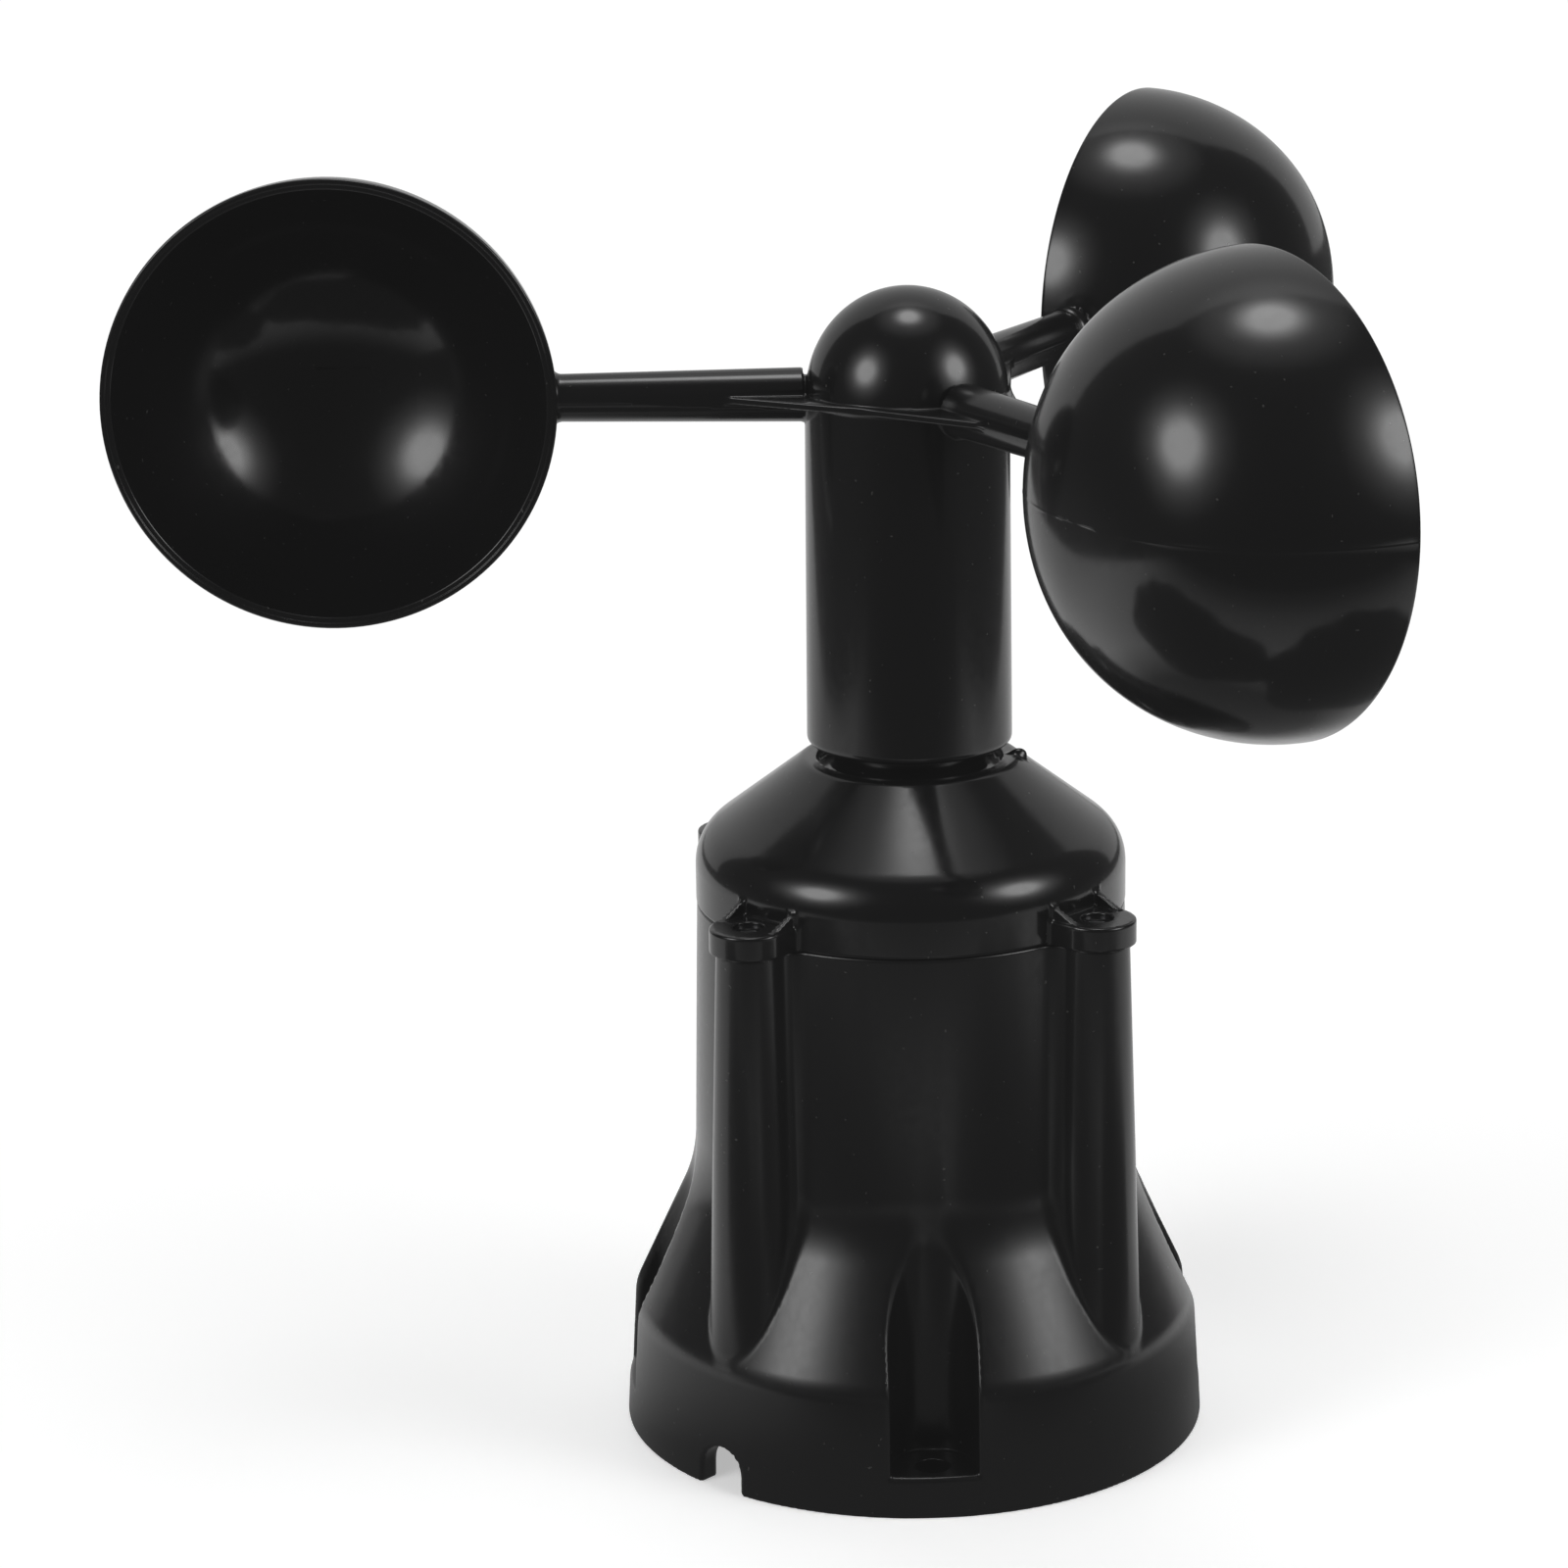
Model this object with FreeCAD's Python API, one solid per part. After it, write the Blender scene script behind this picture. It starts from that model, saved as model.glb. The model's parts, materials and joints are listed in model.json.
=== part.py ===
import FreeCAD, Part
import math
import os

# Cup anemometer, millimetres.  Origin: centre of the base ring's foot, +Z up the rotor axis.
# The four mounting pockets lie on the -X, +X, -Y and +Y sides, the four screw ears at 45 degrees.

V = FreeCAD.Vector
Z_AXIS = V(0, 0, 1)
CENTRE = V(0, 0, 0)

# ---- driving dimensions: clearances, common roundings and how far a cutter runs past a face ----
FIT_GAP = 0.01
SCREW_GAP = 0.02
BALL_GAP = 0.03
SMALL_ROUND = 0.2
MEDIUM_ROUND = 0.4
SAME_POINT = 1e-6
TOUCH = 0.25
PAST = 1.0

# ---- lower housing ----
BASE_R = 40.0
RING_TOP_R = 39.05
RING_TOP_Z = 17.04
RING_TOP_FILLET = 8.0
FOOT_CHAMFER = 0.3
FLARE_TOP_R = 29.98
FLARE_TOP_Z = 36.64
FLARE_TOP_FILLET = 22.0
SPLIT_Z = 74.4
BODY_TOP_R = 29.1
EDGE_ROUND = 0.35
CHAMBER_R = 27.0
FLOOR_BOTTOM_Z = 30.0
FLOOR_TOP_Z = 33.0
BASE_CAVITY_FOOT_R = 36.9
BASE_CAVITY_MID_R = 36.6
BASE_CAVITY_MID_Z = 15.0
BASE_CAVITY_TOP_R = 29.6

POCKET_ANGLES = (0.0, 90.0, 180.0, 270.0)
POCKET_CENTRE_R = 35.9
POCKET_HALF_WIDTH = 5.75
POCKET_FLOOR_Z = 5.75
POCKET_TOP_Z = 48.0
POCKET_WALL = 2.5
POCKET_EDGE_ROUND = 0.8
BASE_BOLT_R = 35.5
BASE_BOLT_HOLE_R = 2.25

NOTCH_ANGLE = 225.0
NOTCH_HALF_WIDTH = 3.5
NOTCH_HEIGHT = 6.0
NOTCH_INNER_R = 33.0
NOTCH_OUTER_R = 42.0

EAR_ANGLES = (45.0, 135.0, 225.0, 315.0)
EAR_CENTRE_R = 32.5
BOSS_TOP_R = 4.4
BOSS_FOOT_R = 6.15
BOSS_INNER_R = 28.0
BOSS_FOOT_Z = 17.5
PILOT_R = 1.1
PILOT_FOOT_Z = 60.0

# ---- upper housing ----
CAP_R = 29.2
CAP_SHOULDER_Z = 83.04
CAP_SHOULDER_FILLET = 7.0
CAP_CONE_TOP_R = 14.5
CAP_CONE_TOP_Z = 94.28
CAP_WALL = 2.5
CAP_LAND_INNER_R = 12.6
CAP_RECESS_Z = 92.7
CAP_ROOF_UNDER_Z = 90.6
SPIGOT_OUTER_R = 26.9
SPIGOT_INNER_R = 25.0
SPIGOT_FOOT_Z = 70.0
SEAL_GROOVE_R = 25.85
SEAL_GROOVE_LOW_Z = 71.4
SEAL_GROOVE_HIGH_Z = 73.2
SEAL_CORD_R = 0.55
TOWER_R = 10.2
TOWER_TOP_Z = 131.0
TOWER_FOOT_R = 10.8
TOWER_FOOT_Z = 88.5
TOWER_ROUND = 0.5
ROOF_ROUND = 1.0
EAVES_ROUND = 3.0
EAR_R = 5.25
EAR_TOP_Z = 77.7
EAR_COUNTERBORE_R = 2.075
EAR_COUNTERBORE_Z = 75.4
EAR_HOLE_R = 1.2
EAR_BITE = 0.6
RIB_OFFSET = 4.45
RIB_THICKNESS = 1.0
RIB_START_R = 33.0
RIB_HEIGHT = 2.1

# ---- bearings (5 x 16 x 5 mm ball bearings) ----
BEARING_BORE_R = 2.5
BEARING_OUTER_R = 8.0
BEARING_WIDTH = 5.0
BEARING_PITCH_R = 5.25
BEARING_SEAT_LENGTH = 19.0
LOWER_BEARING_Z = 100.0
UPPER_BEARING_Z = LOWER_BEARING_Z + BEARING_WIDTH + BEARING_SEAT_LENGTH
TOWER_STEP_R = 6.9
INNER_RING_R = 4.2
OUTER_RING_R = 6.3
BALL_R = 1.36
BALL_COUNT = 7
CAGE_INNER_R = 4.85
CAGE_OUTER_R = 5.65
CAGE_HALF_HEIGHT = 1.8
SHIELD_INNER_R = 4.3
SHIELD_OUTER_R = 6.8
SHIELD_THICKNESS = 0.3
SHIELD_INSET = 0.15

# ---- rotor ----
ARM_PLANE_Z = 143.95
ARM_ANGLES = (57.73, 177.73, 297.73)
HUB_BOTTOM_Z = 96.4
HUB_BOTTOM_R = 13.85
HUB_TOP_R = 13.6
HUB_EDGE_ROUND = 0.9
HUB_BORE_R = 11.65
HUB_ROOF_Z = 133.0
HUB_ROOF_ROUND = 1.5
HUB_STEM_R = 4.0
HUB_STEM_Z = 129.0
DOME_HEIGHT = 14.25
GATE_MARK_R = 1.1
GATE_MARK_DEPTH = 0.3
SHAFT_R = 2.49
SHAFT_BOTTOM_Z = 82.0
SHAFT_TOP_Z = 150.0
SHAFT_CHAMFER = 0.4
ARM_ROOT_RADIUS = 3.6
ARM_TIP_RADIUS = 3.15
ARM_START = 13.8
ARM_END = 47.4
ARM_FLARE_RADIUS = 1.3
ARM_FLARE_END = 47.0
ARM_FLARE_SETBACK = 0.3
NECK_RADIUS = 2.5
NECK_START = 8.0
NECK_OVERLAP = 0.05
WEB_APEX = 30.5
WEB_HUB_R = 13.7
WEB_THICKNESS = 0.9
CUP_CENTRE = 76.36
CUP_RIM_R = 30.15
CUP_DEPTH = 27.8
CUP_RIM_AHEAD = 3.6
CUP_WALL = 1.5
CUP_RADIUS_POWER = 0.8
CUP_DEPTH_POWER = 1.07
CUP_CURVE_STEPS = 14

# ---- pieces on the shaft ----
CLIP_Z = 99.2
CLIP_THICKNESS = 0.7
CLIP_OUTER_R = 4.4
CLIP_GROOVE_R = 2.0
CLIP_MOUTH = 3.4
SLINGER_INNER_R = 4.02
SLINGER_OUTER_R = 7.4
SLINGER_Z = 129.9
SLINGER_HEIGHT = 1.8
SLINGER_LIP = 0.2
SLINGER_SLEEVE = 2.0
SPACER_R = 3.6
CARRIER_R = 11.0
CARRIER_BOTTOM_Z = 79.8
CARRIER_DISC_HEIGHT = 4.0
CARRIER_HUB_R = 5.2
CARRIER_TOP_Z = 91.5
MAGNET_COUNT = 4
MAGNET_ORBIT_R = 8.2
MAGNET_R = 2.0
MAGNET_HEIGHT = 3.0
MAGNET_INSET = 0.2
SET_SCREW_R = 1.5
SET_SCREW_Z = 88.0
SET_SCREW_INSET = 0.3
SET_SCREW_KEY = 1.5
SET_SCREW_KEY_DEPTH = 1.2

# ---- electronics ----
BOARD_R = 24.0
BOARD_BOTTOM_Z = 75.0
BOARD_TOP_Z = 76.6
BOARD_POST_ORBIT_R = 19.0
BOARD_POST_ANGLES = (90.0, 210.0, 330.0)
BOARD_POST_R = 2.75
BOARD_POST_TOP_Z = 87.2
BOARD_PILOT_DEPTH = 7.0
BOARD_HOLE_R = 1.25
SENSOR_LENGTH = 4.0
SENSOR_WIDTH = 3.0
SENSOR_LOW = 0.3
SENSOR_HEIGHT = 1.5
SENSOR_LEG_PITCH = 1.27
SENSOR_LEG_LENGTH = 1.1
SENSOR_LEG_WIDTH = 0.4
# each chip: nearest corner (x, y), size (x, y), height
CHIP_SIZES = (
    ((-14.0, 2.0), (7.0, 7.0), 1.2),
    ((-2.0, 6.0), (5.0, 4.0), 1.5),
    ((8.0, 2.0), (6.5, 6.0), 2.3),
    ((5.5, 13.0), (4.2, 2.6), 2.0),
    ((-1.0, 13.0), (4.2, 2.6), 2.0),
)
CAN_PLACES = ((-11.0, 14.0), (-16.5, -3.5))
CAN_R = 3.15
CAN_HEIGHT = 7.7
CAN_GROOVE_Z = 1.6
CAN_GROOVE_R = 0.35
TERMINAL_COUNT = 4
TERMINAL_PITCH = 3.5
TERMINAL_DEPTH = 7.0
TERMINAL_HEIGHT = 8.5
TERMINAL_Y = -12.0
TERMINAL_WALL = 0.4
TERMINAL_SCREW_R = 1.2
TERMINAL_SCREW_LENGTH = 2.4
TERMINAL_SLOT = 0.4
TERMINAL_SLOT_DEPTH = 0.6
TERMINAL_INSET = 0.5
WIRE_WAY_LOW = 4.0
WIRE_WAY_HIGH = 6.6

# ---- cable gland ----
GLAND_HOLE_R = 6.15
GLAND_STEM_R = 6.0
GLAND_STEM_TOP_Z = 41.0
GLAND_FLATS = 16.0
GLAND_HEX_BOTTOM_Z = 24.5
GLAND_WASHER_HEIGHT = 1.0
GLAND_WASHER_R = 7.9
GLAND_NUT_BOTTOM_Z = 12.0
GLAND_NUT_HEX_Z = 18.5
GLAND_NUT_NOSE_R = 5.6
GLAND_NOSE_ROUND = 1.5
GLAND_MOUTH_R = 3.2
GLAND_BORE_R = 4.4
GLAND_SEAL_BORE_R = 2.9
GLAND_SEAL_BOTTOM_Z = 13.4
GLAND_SEAL_TOP_Z = 22.6
LOCK_NUT_HEIGHT = 3.5

# ---- small screws ----
SCREW_HEAD_R = 1.95
SCREW_HEAD_HEIGHT = 1.3
SCREW_SHANK_R = PILOT_R - SCREW_GAP
SCREW_TIP = 1.2
SCREW_CROSS_LENGTH = 2.2
SCREW_CROSS_WIDTH = 0.45
SCREW_CROSS_DEPTH = 0.7
HOUSING_SCREW_LENGTH = 14.0
BOARD_SCREW_LENGTH = 7.0


def corner_arc(before, corner, after, radius):
    """Tangent arc of a radius that rounds the corner between two straight edges."""
    to_before = (before - corner).normalize()
    to_after = (after - corner).normalize()
    half_angle = to_before.getAngle(to_after) / 2.0
    reach = radius / math.tan(half_angle)
    middle = (to_before + to_after).normalize()
    centre = corner + middle * (radius / math.sin(half_angle))
    return Part.Arc(corner + to_before * reach, centre - middle * radius, corner + to_after * reach)


def outline(corners):
    """Closed wire through corners given as (point, rounding radius)."""
    count = len(corners)
    pieces = []
    for index in range(count):
        point, radius = corners[index]
        before = corners[index - 1][0]
        after = corners[(index + 1) % count][0]
        if radius > 0:
            arc = corner_arc(before, point, after, radius)
            pieces.append((arc.StartPoint, arc.EndPoint, arc.toShape()))
        else:
            pieces.append((point, point, None))
    edges = []
    for index in range(count):
        start, end, edge = pieces[index]
        if edge is not None:
            edges.append(edge)
        following = pieces[(index + 1) % count][0]
        if (following - end).Length > SAME_POINT:
            edges.append(Part.LineSegment(end, following).toShape())
    return Part.Wire(edges)


def lathe(corners):
    """Solid of revolution about Z from corners (r, z) or (r, z, rounding)."""
    placed = []
    for corner in corners:
        rounding = corner[2] if len(corner) > 2 else 0.0
        placed.append((V(corner[0], 0, corner[1]), rounding))
    return Part.Face(outline(placed)).revolve(CENTRE, Z_AXIS, 360)


def tube(inner_r, outer_r, low_z, high_z):
    return lathe([(inner_r, low_z), (outer_r, low_z), (outer_r, high_z), (inner_r, high_z)])


def disc(radius, low_z, high_z, x=0.0, y=0.0):
    return Part.makeCylinder(radius, high_z - low_z, V(x, y, low_z))


def box(low, high):
    size = V(*high) - V(*low)
    return Part.makeBox(size.x, size.y, size.z, V(*low))


def turned(shape, angle):
    """A copy turned about the rotor axis."""
    copy = shape.copy()
    copy.rotate(CENTRE, Z_AXIS, angle)
    return copy


def around(shape, angles):
    return [turned(shape, angle) for angle in angles]


def equal_angles(count):
    return [index * 360.0 / count for index in range(count)]


def hexagon(across_flats, low_z, high_z):
    corner_r = across_flats / math.sqrt(3.0)
    corners = []
    for angle in equal_angles(6):
        turn = math.radians(angle)
        corners.append((V(corner_r * math.cos(turn), corner_r * math.sin(turn), low_z), 0.0))
    return Part.Face(outline(corners)).extrude(V(0, 0, high_z - low_z))


def lobe_section(radius, z):
    """U-shaped wire on +X: round outside, parallel flanks running in to the wall."""
    inner_r = BOSS_INNER_R
    tip = V(EAR_CENTRE_R + radius, 0, z)
    left = V(EAR_CENTRE_R, radius, z)
    right = V(EAR_CENTRE_R, -radius, z)
    edges = [
        Part.Arc(right, tip, left).toShape(),
        Part.LineSegment(left, V(inner_r, radius, z)).toShape(),
        Part.LineSegment(V(inner_r, radius, z), V(inner_r, -radius, z)).toShape(),
        Part.LineSegment(V(inner_r, -radius, z), right).toShape(),
    ]
    return Part.Wire(edges)


def lobe(foot_r, top_r, low_z, high_z):
    """Upright U-section block on +X, from one nose radius at its foot to another at its top."""
    return Part.makeLoft([lobe_section(foot_r, low_z), lobe_section(top_r, high_z)], True, True)


# ---------------------------------------------------------------- housings

def lower_outside():
    """Outer form of the lower housing: foot ring, flare, blend and drafted wall."""
    return lathe([
        (0, 0),
        (BASE_R, 0, FOOT_CHAMFER),
        (RING_TOP_R, RING_TOP_Z, RING_TOP_FILLET),
        (FLARE_TOP_R, FLARE_TOP_Z, FLARE_TOP_FILLET),
        (BODY_TOP_R, SPLIT_Z, EDGE_ROUND),
        (0, SPLIT_Z),
    ])


def base_cavity():
    """Open space under the chamber floor, where the cable runs to the notch."""
    return lathe([
        (0, -PAST),
        (BASE_CAVITY_FOOT_R, -PAST),
        (BASE_CAVITY_MID_R, BASE_CAVITY_MID_Z),
        (BASE_CAVITY_TOP_R, FLOOR_BOTTOM_Z),
        (0, FLOOR_BOTTOM_Z),
    ])


def pocket_slot():
    """Mounting pocket on +X: round back, open outwards and upwards."""
    back = disc(POCKET_HALF_WIDTH, POCKET_FLOOR_Z, POCKET_TOP_Z, x=POCKET_CENTRE_R)
    way_out = box(
        (POCKET_CENTRE_R, -POCKET_HALF_WIDTH, POCKET_FLOOR_Z),
        (BASE_R + 5 * PAST, POCKET_HALF_WIDTH, POCKET_TOP_Z),
    )
    return back.fuse(way_out).removeSplitter()


def pocket_block():
    """Wall and solid floor round one pocket, before the pocket is cut."""
    half_width = POCKET_HALF_WIDTH + POCKET_WALL
    high_z = FLOOR_BOTTOM_Z + TOUCH
    back = disc(half_width, 0, high_z, x=POCKET_CENTRE_R)
    sides = box((POCKET_CENTRE_R, -half_width, 0), (BASE_R, half_width, high_z))
    return back.fuse(sides).removeSplitter()


def cable_notch():
    """Round-topped passage through the foot ring."""
    arch_z = NOTCH_HEIGHT - NOTCH_HALF_WIDTH
    length = NOTCH_OUTER_R - NOTCH_INNER_R
    arch = Part.makeCylinder(NOTCH_HALF_WIDTH, length, V(NOTCH_INNER_R, 0, arch_z), V(1, 0, 0))
    jambs = box(
        (NOTCH_INNER_R, -NOTCH_HALF_WIDTH, -PAST),
        (NOTCH_OUTER_R, NOTCH_HALF_WIDTH, arch_z),
    )
    return turned(arch.fuse(jambs).removeSplitter(), NOTCH_ANGLE)


def pocket_rim_edges(shape):
    """Edges where a pocket meets the flare and the foot ring."""
    back_r = POCKET_CENTRE_R - POCKET_HALF_WIDTH - TOUCH
    picked = []
    for edge in shape.Edges:
        low = edge.BoundBox.ZMin
        high = edge.BoundBox.ZMax
        middle = edge.valueAt((edge.FirstParameter + edge.LastParameter) / 2.0)
        along = max(abs(middle.x), abs(middle.y))
        across = min(abs(middle.x), abs(middle.y))
        rises = high - low > 2 * TOUCH
        above_floor = low > POCKET_FLOOR_Z - FIT_GAP and high < FLARE_TOP_Z + FLARE_TOP_FILLET
        beside = across < POCKET_HALF_WIDTH + FIT_GAP
        if along > back_r and rises and above_floor and beside:
            picked.append(edge)
    return picked


def lower_housing():
    outside = lower_outside()
    boss = lobe(BOSS_FOOT_R, BOSS_TOP_R, BOSS_FOOT_Z, SPLIT_Z)
    body = outside.fuse(around(boss, EAR_ANGLES)).removeSplitter()
    body = body.cut([base_cavity(), disc(CHAMBER_R, FLOOR_TOP_Z, SPLIT_Z + PAST)])
    blocks = [outside.common(block) for block in around(pocket_block(), POCKET_ANGLES)]
    body = body.fuse(blocks).removeSplitter()
    body = body.cut(around(pocket_slot(), POCKET_ANGLES))
    body = body.makeFillet(POCKET_EDGE_ROUND, pocket_rim_edges(body))
    bolt_hole = disc(BASE_BOLT_HOLE_R, -PAST, POCKET_FLOOR_Z + PAST, x=BASE_BOLT_R)
    pilot = disc(PILOT_R, PILOT_FOOT_Z, SPLIT_Z + PAST, x=EAR_CENTRE_R)
    holes = around(bolt_hole, POCKET_ANGLES) + around(pilot, EAR_ANGLES)
    holes.append(disc(GLAND_HOLE_R, FLOOR_BOTTOM_Z - PAST, FLOOR_TOP_Z + PAST))
    holes.append(cable_notch())
    return body.cut(holes)


def cap_shell():
    """Cap, sealing spigot and bearing tower, all turned about the rotor axis."""
    slope = (CAP_CONE_TOP_Z - CAP_SHOULDER_Z) / (CAP_R - CAP_CONE_TOP_R)
    drop = CAP_WALL * math.sqrt(1 + slope * slope)
    roof_r = CAP_CONE_TOP_R + (CAP_CONE_TOP_Z - drop - CAP_ROOF_UNDER_Z) / slope
    eaves_z = CAP_SHOULDER_Z - drop + (CAP_R - SPIGOT_INNER_R) * slope
    return lathe([
        (CAP_R, SPLIT_Z, EDGE_ROUND),
        (CAP_R, CAP_SHOULDER_Z, CAP_SHOULDER_FILLET),
        (CAP_CONE_TOP_R, CAP_CONE_TOP_Z, MEDIUM_ROUND),
        (CAP_LAND_INNER_R, CAP_CONE_TOP_Z, SMALL_ROUND),
        (CAP_LAND_INNER_R, CAP_RECESS_Z),
        (TOWER_R, CAP_RECESS_Z, TOWER_ROUND),
        (TOWER_R, TOWER_TOP_Z, TOWER_ROUND),
        (BEARING_OUTER_R, TOWER_TOP_Z),
        (BEARING_OUTER_R, UPPER_BEARING_Z),
        (TOWER_STEP_R, UPPER_BEARING_Z),
        (TOWER_STEP_R, LOWER_BEARING_Z + BEARING_WIDTH),
        (BEARING_OUTER_R, LOWER_BEARING_Z + BEARING_WIDTH),
        (BEARING_OUTER_R, TOWER_FOOT_Z),
        (TOWER_FOOT_R, TOWER_FOOT_Z),
        (TOWER_FOOT_R, CAP_ROOF_UNDER_Z),
        (roof_r, CAP_ROOF_UNDER_Z, ROOF_ROUND),
        (SPIGOT_INNER_R, eaves_z, EAVES_ROUND),
        (SPIGOT_INNER_R, SPIGOT_FOOT_Z),
        (SPIGOT_OUTER_R, SPIGOT_FOOT_Z, MEDIUM_ROUND),
        (SPIGOT_OUTER_R, SEAL_GROOVE_LOW_Z),
        (SEAL_GROOVE_R, SEAL_GROOVE_LOW_Z),
        (SEAL_GROOVE_R, SEAL_GROOVE_HIGH_Z),
        (SPIGOT_OUTER_R, SEAL_GROOVE_HIGH_Z),
        (SPIGOT_OUTER_R, SPLIT_Z),
    ])


def ear_rib(side):
    """Thin gusset on an ear on +X: level with the ear at its start, rising to the cap wall."""
    wall_r = CAP_R - EAR_BITE
    low_y = side * RIB_OFFSET - RIB_THICKNESS / 2.0
    foot_z = EAR_TOP_Z - EAR_BITE
    corners = [
        (V(wall_r, low_y, foot_z), 0.0),
        (V(RIB_START_R, low_y, foot_z), 0.0),
        (V(RIB_START_R, low_y, EAR_TOP_Z), 0.0),
        (V(wall_r, low_y, EAR_TOP_Z + RIB_HEIGHT), 0.0),
    ]
    return Part.Face(outline(corners)).extrude(V(0, RIB_THICKNESS, 0))


def ear():
    block = lobe(EAR_R, EAR_R, SPLIT_Z, EAR_TOP_Z)
    inside = disc(CAP_R - EAR_BITE, SPLIT_Z - PAST, EAR_TOP_Z + PAST)
    block = block.cut(inside)
    top_rim = []
    for edge in block.Edges:
        level = edge.BoundBox.ZLength < FIT_GAP and edge.BoundBox.ZMax > EAR_TOP_Z - FIT_GAP
        outer = edge.BoundBox.XMax > CAP_R + PAST
        if level and outer:
            top_rim.append(edge)
    block = block.makeFillet(EDGE_ROUND, top_rim)
    return block.fuse([ear_rib(-1), ear_rib(1)]).removeSplitter()


def upper_housing():
    cap = cap_shell().fuse(around(ear(), EAR_ANGLES)).removeSplitter()
    post = disc(BOARD_POST_R, BOARD_TOP_Z, BOARD_POST_TOP_Z, x=BOARD_POST_ORBIT_R)
    cap = cap.fuse(around(post, BOARD_POST_ANGLES)).removeSplitter()
    counterbore = disc(EAR_COUNTERBORE_R, EAR_COUNTERBORE_Z, EAR_TOP_Z + 5 * PAST, x=EAR_CENTRE_R)
    through = disc(EAR_HOLE_R, SPLIT_Z - PAST, EAR_TOP_Z, x=EAR_CENTRE_R)
    pilot_top_z = BOARD_TOP_Z + BOARD_PILOT_DEPTH
    pilot = disc(PILOT_R, BOARD_TOP_Z - PAST, pilot_top_z, x=BOARD_POST_ORBIT_R)
    holes = around(counterbore, EAR_ANGLES) + around(through, EAR_ANGLES)
    return cap.cut(holes + around(pilot, BOARD_POST_ANGLES))


def housing_seal():
    """O-ring in the spigot's groove, touching the chamber wall."""
    centre_r = CHAMBER_R - FIT_GAP - SEAL_CORD_R
    middle_z = (SEAL_GROOVE_LOW_Z + SEAL_GROOVE_HIGH_Z) / 2.0
    return Part.makeTorus(centre_r, SEAL_CORD_R, V(0, 0, middle_z))


# ---------------------------------------------------------------- rotor

def shaft_socket():
    return disc(BEARING_BORE_R, HUB_STEM_Z - PAST, SHAFT_TOP_Z + FIT_GAP)


def hub():
    """Bell over the bearing tower, with its dome and the stem that holds the shaft."""
    top = V(0, 0, ARM_PLANE_Z + DOME_HEIGHT)
    shoulder = V(HUB_TOP_R, 0, ARM_PLANE_Z)
    dome = Part.Ellipse(top, shoulder, V(0, 0, ARM_PLANE_Z))
    dome_edge = Part.ArcOfEllipse(dome, 0, math.pi / 2).toShape()
    skirt = lathe([
        (HUB_BORE_R, HUB_BOTTOM_Z, SMALL_ROUND),
        (HUB_BOTTOM_R, HUB_BOTTOM_Z, HUB_EDGE_ROUND),
        (HUB_TOP_R, ARM_PLANE_Z),
        (0, ARM_PLANE_Z),
        (0, HUB_STEM_Z),
        (HUB_STEM_R, HUB_STEM_Z),
        (HUB_STEM_R, HUB_ROOF_Z),
        (HUB_BORE_R, HUB_ROOF_Z, HUB_ROOF_ROUND),
    ])
    lines = [
        Part.LineSegment(top, V(0, 0, ARM_PLANE_Z)).toShape(),
        Part.LineSegment(V(0, 0, ARM_PLANE_Z), shoulder).toShape(),
        dome_edge,
    ]
    cupola = Part.Face(Part.Wire(Part.__sortEdges__(lines))).revolve(CENTRE, Z_AXIS, 360)
    gate_mark = disc(GATE_MARK_R, top.z - GATE_MARK_DEPTH, top.z + PAST)
    socket = shaft_socket()
    return skirt.fuse(cupola).removeSplitter().cut([gate_mark, socket])


def arm_flare():
    """Concave foot where an arm spreads on to its cup, kept behind the rim plane."""
    radius = ARM_FLARE_RADIUS
    start_x = ARM_FLARE_END - radius
    foot_r = ARM_TIP_RADIUS + radius
    bend = radius * (1 - math.sqrt(0.5))
    begin = V(start_x, ARM_TIP_RADIUS, 0)
    middle = V(start_x + radius - bend, ARM_TIP_RADIUS + bend, 0)
    end = V(ARM_FLARE_END, foot_r, 0)
    edges = [
        Part.Arc(begin, middle, end).toShape(),
        Part.LineSegment(end, V(ARM_FLARE_END, 0, 0)).toShape(),
        Part.LineSegment(V(ARM_FLARE_END, 0, 0), V(start_x, 0, 0)).toShape(),
        Part.LineSegment(V(start_x, 0, 0), begin).toShape(),
    ]
    foot = Part.Face(Part.Wire(edges)).revolve(CENTRE, V(1, 0, 0), 360)
    foot.translate(V(0, 0, ARM_PLANE_Z))
    past_rim = box(
        (start_x - PAST, CUP_RIM_AHEAD - ARM_FLARE_SETBACK, ARM_PLANE_Z - 2 * foot_r),
        (ARM_FLARE_END + PAST, 2 * foot_r, ARM_PLANE_Z + 2 * foot_r),
    )
    return foot.cut(past_rim)


def arm_root():
    """Inner end of the arm on +X: slim neck above the seam, full-depth root below it."""
    reach = ARM_START - NECK_START
    start = V(NECK_START, 0, ARM_PLANE_Z)
    neck = Part.makeCylinder(NECK_RADIUS, reach + NECK_OVERLAP, start, V(1, 0, 0))
    root_r = ARM_ROOT_RADIUS - NECK_OVERLAP
    root = Part.makeCylinder(root_r, reach + NECK_OVERLAP, start, V(1, 0, 0))
    below = box(
        (0, -ARM_ROOT_RADIUS, ARM_PLANE_Z - ARM_ROOT_RADIUS),
        (ARM_START + NECK_OVERLAP, ARM_ROOT_RADIUS, ARM_PLANE_Z),
    )
    return neck.fuse(root.common(below)).removeSplitter()


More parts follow.
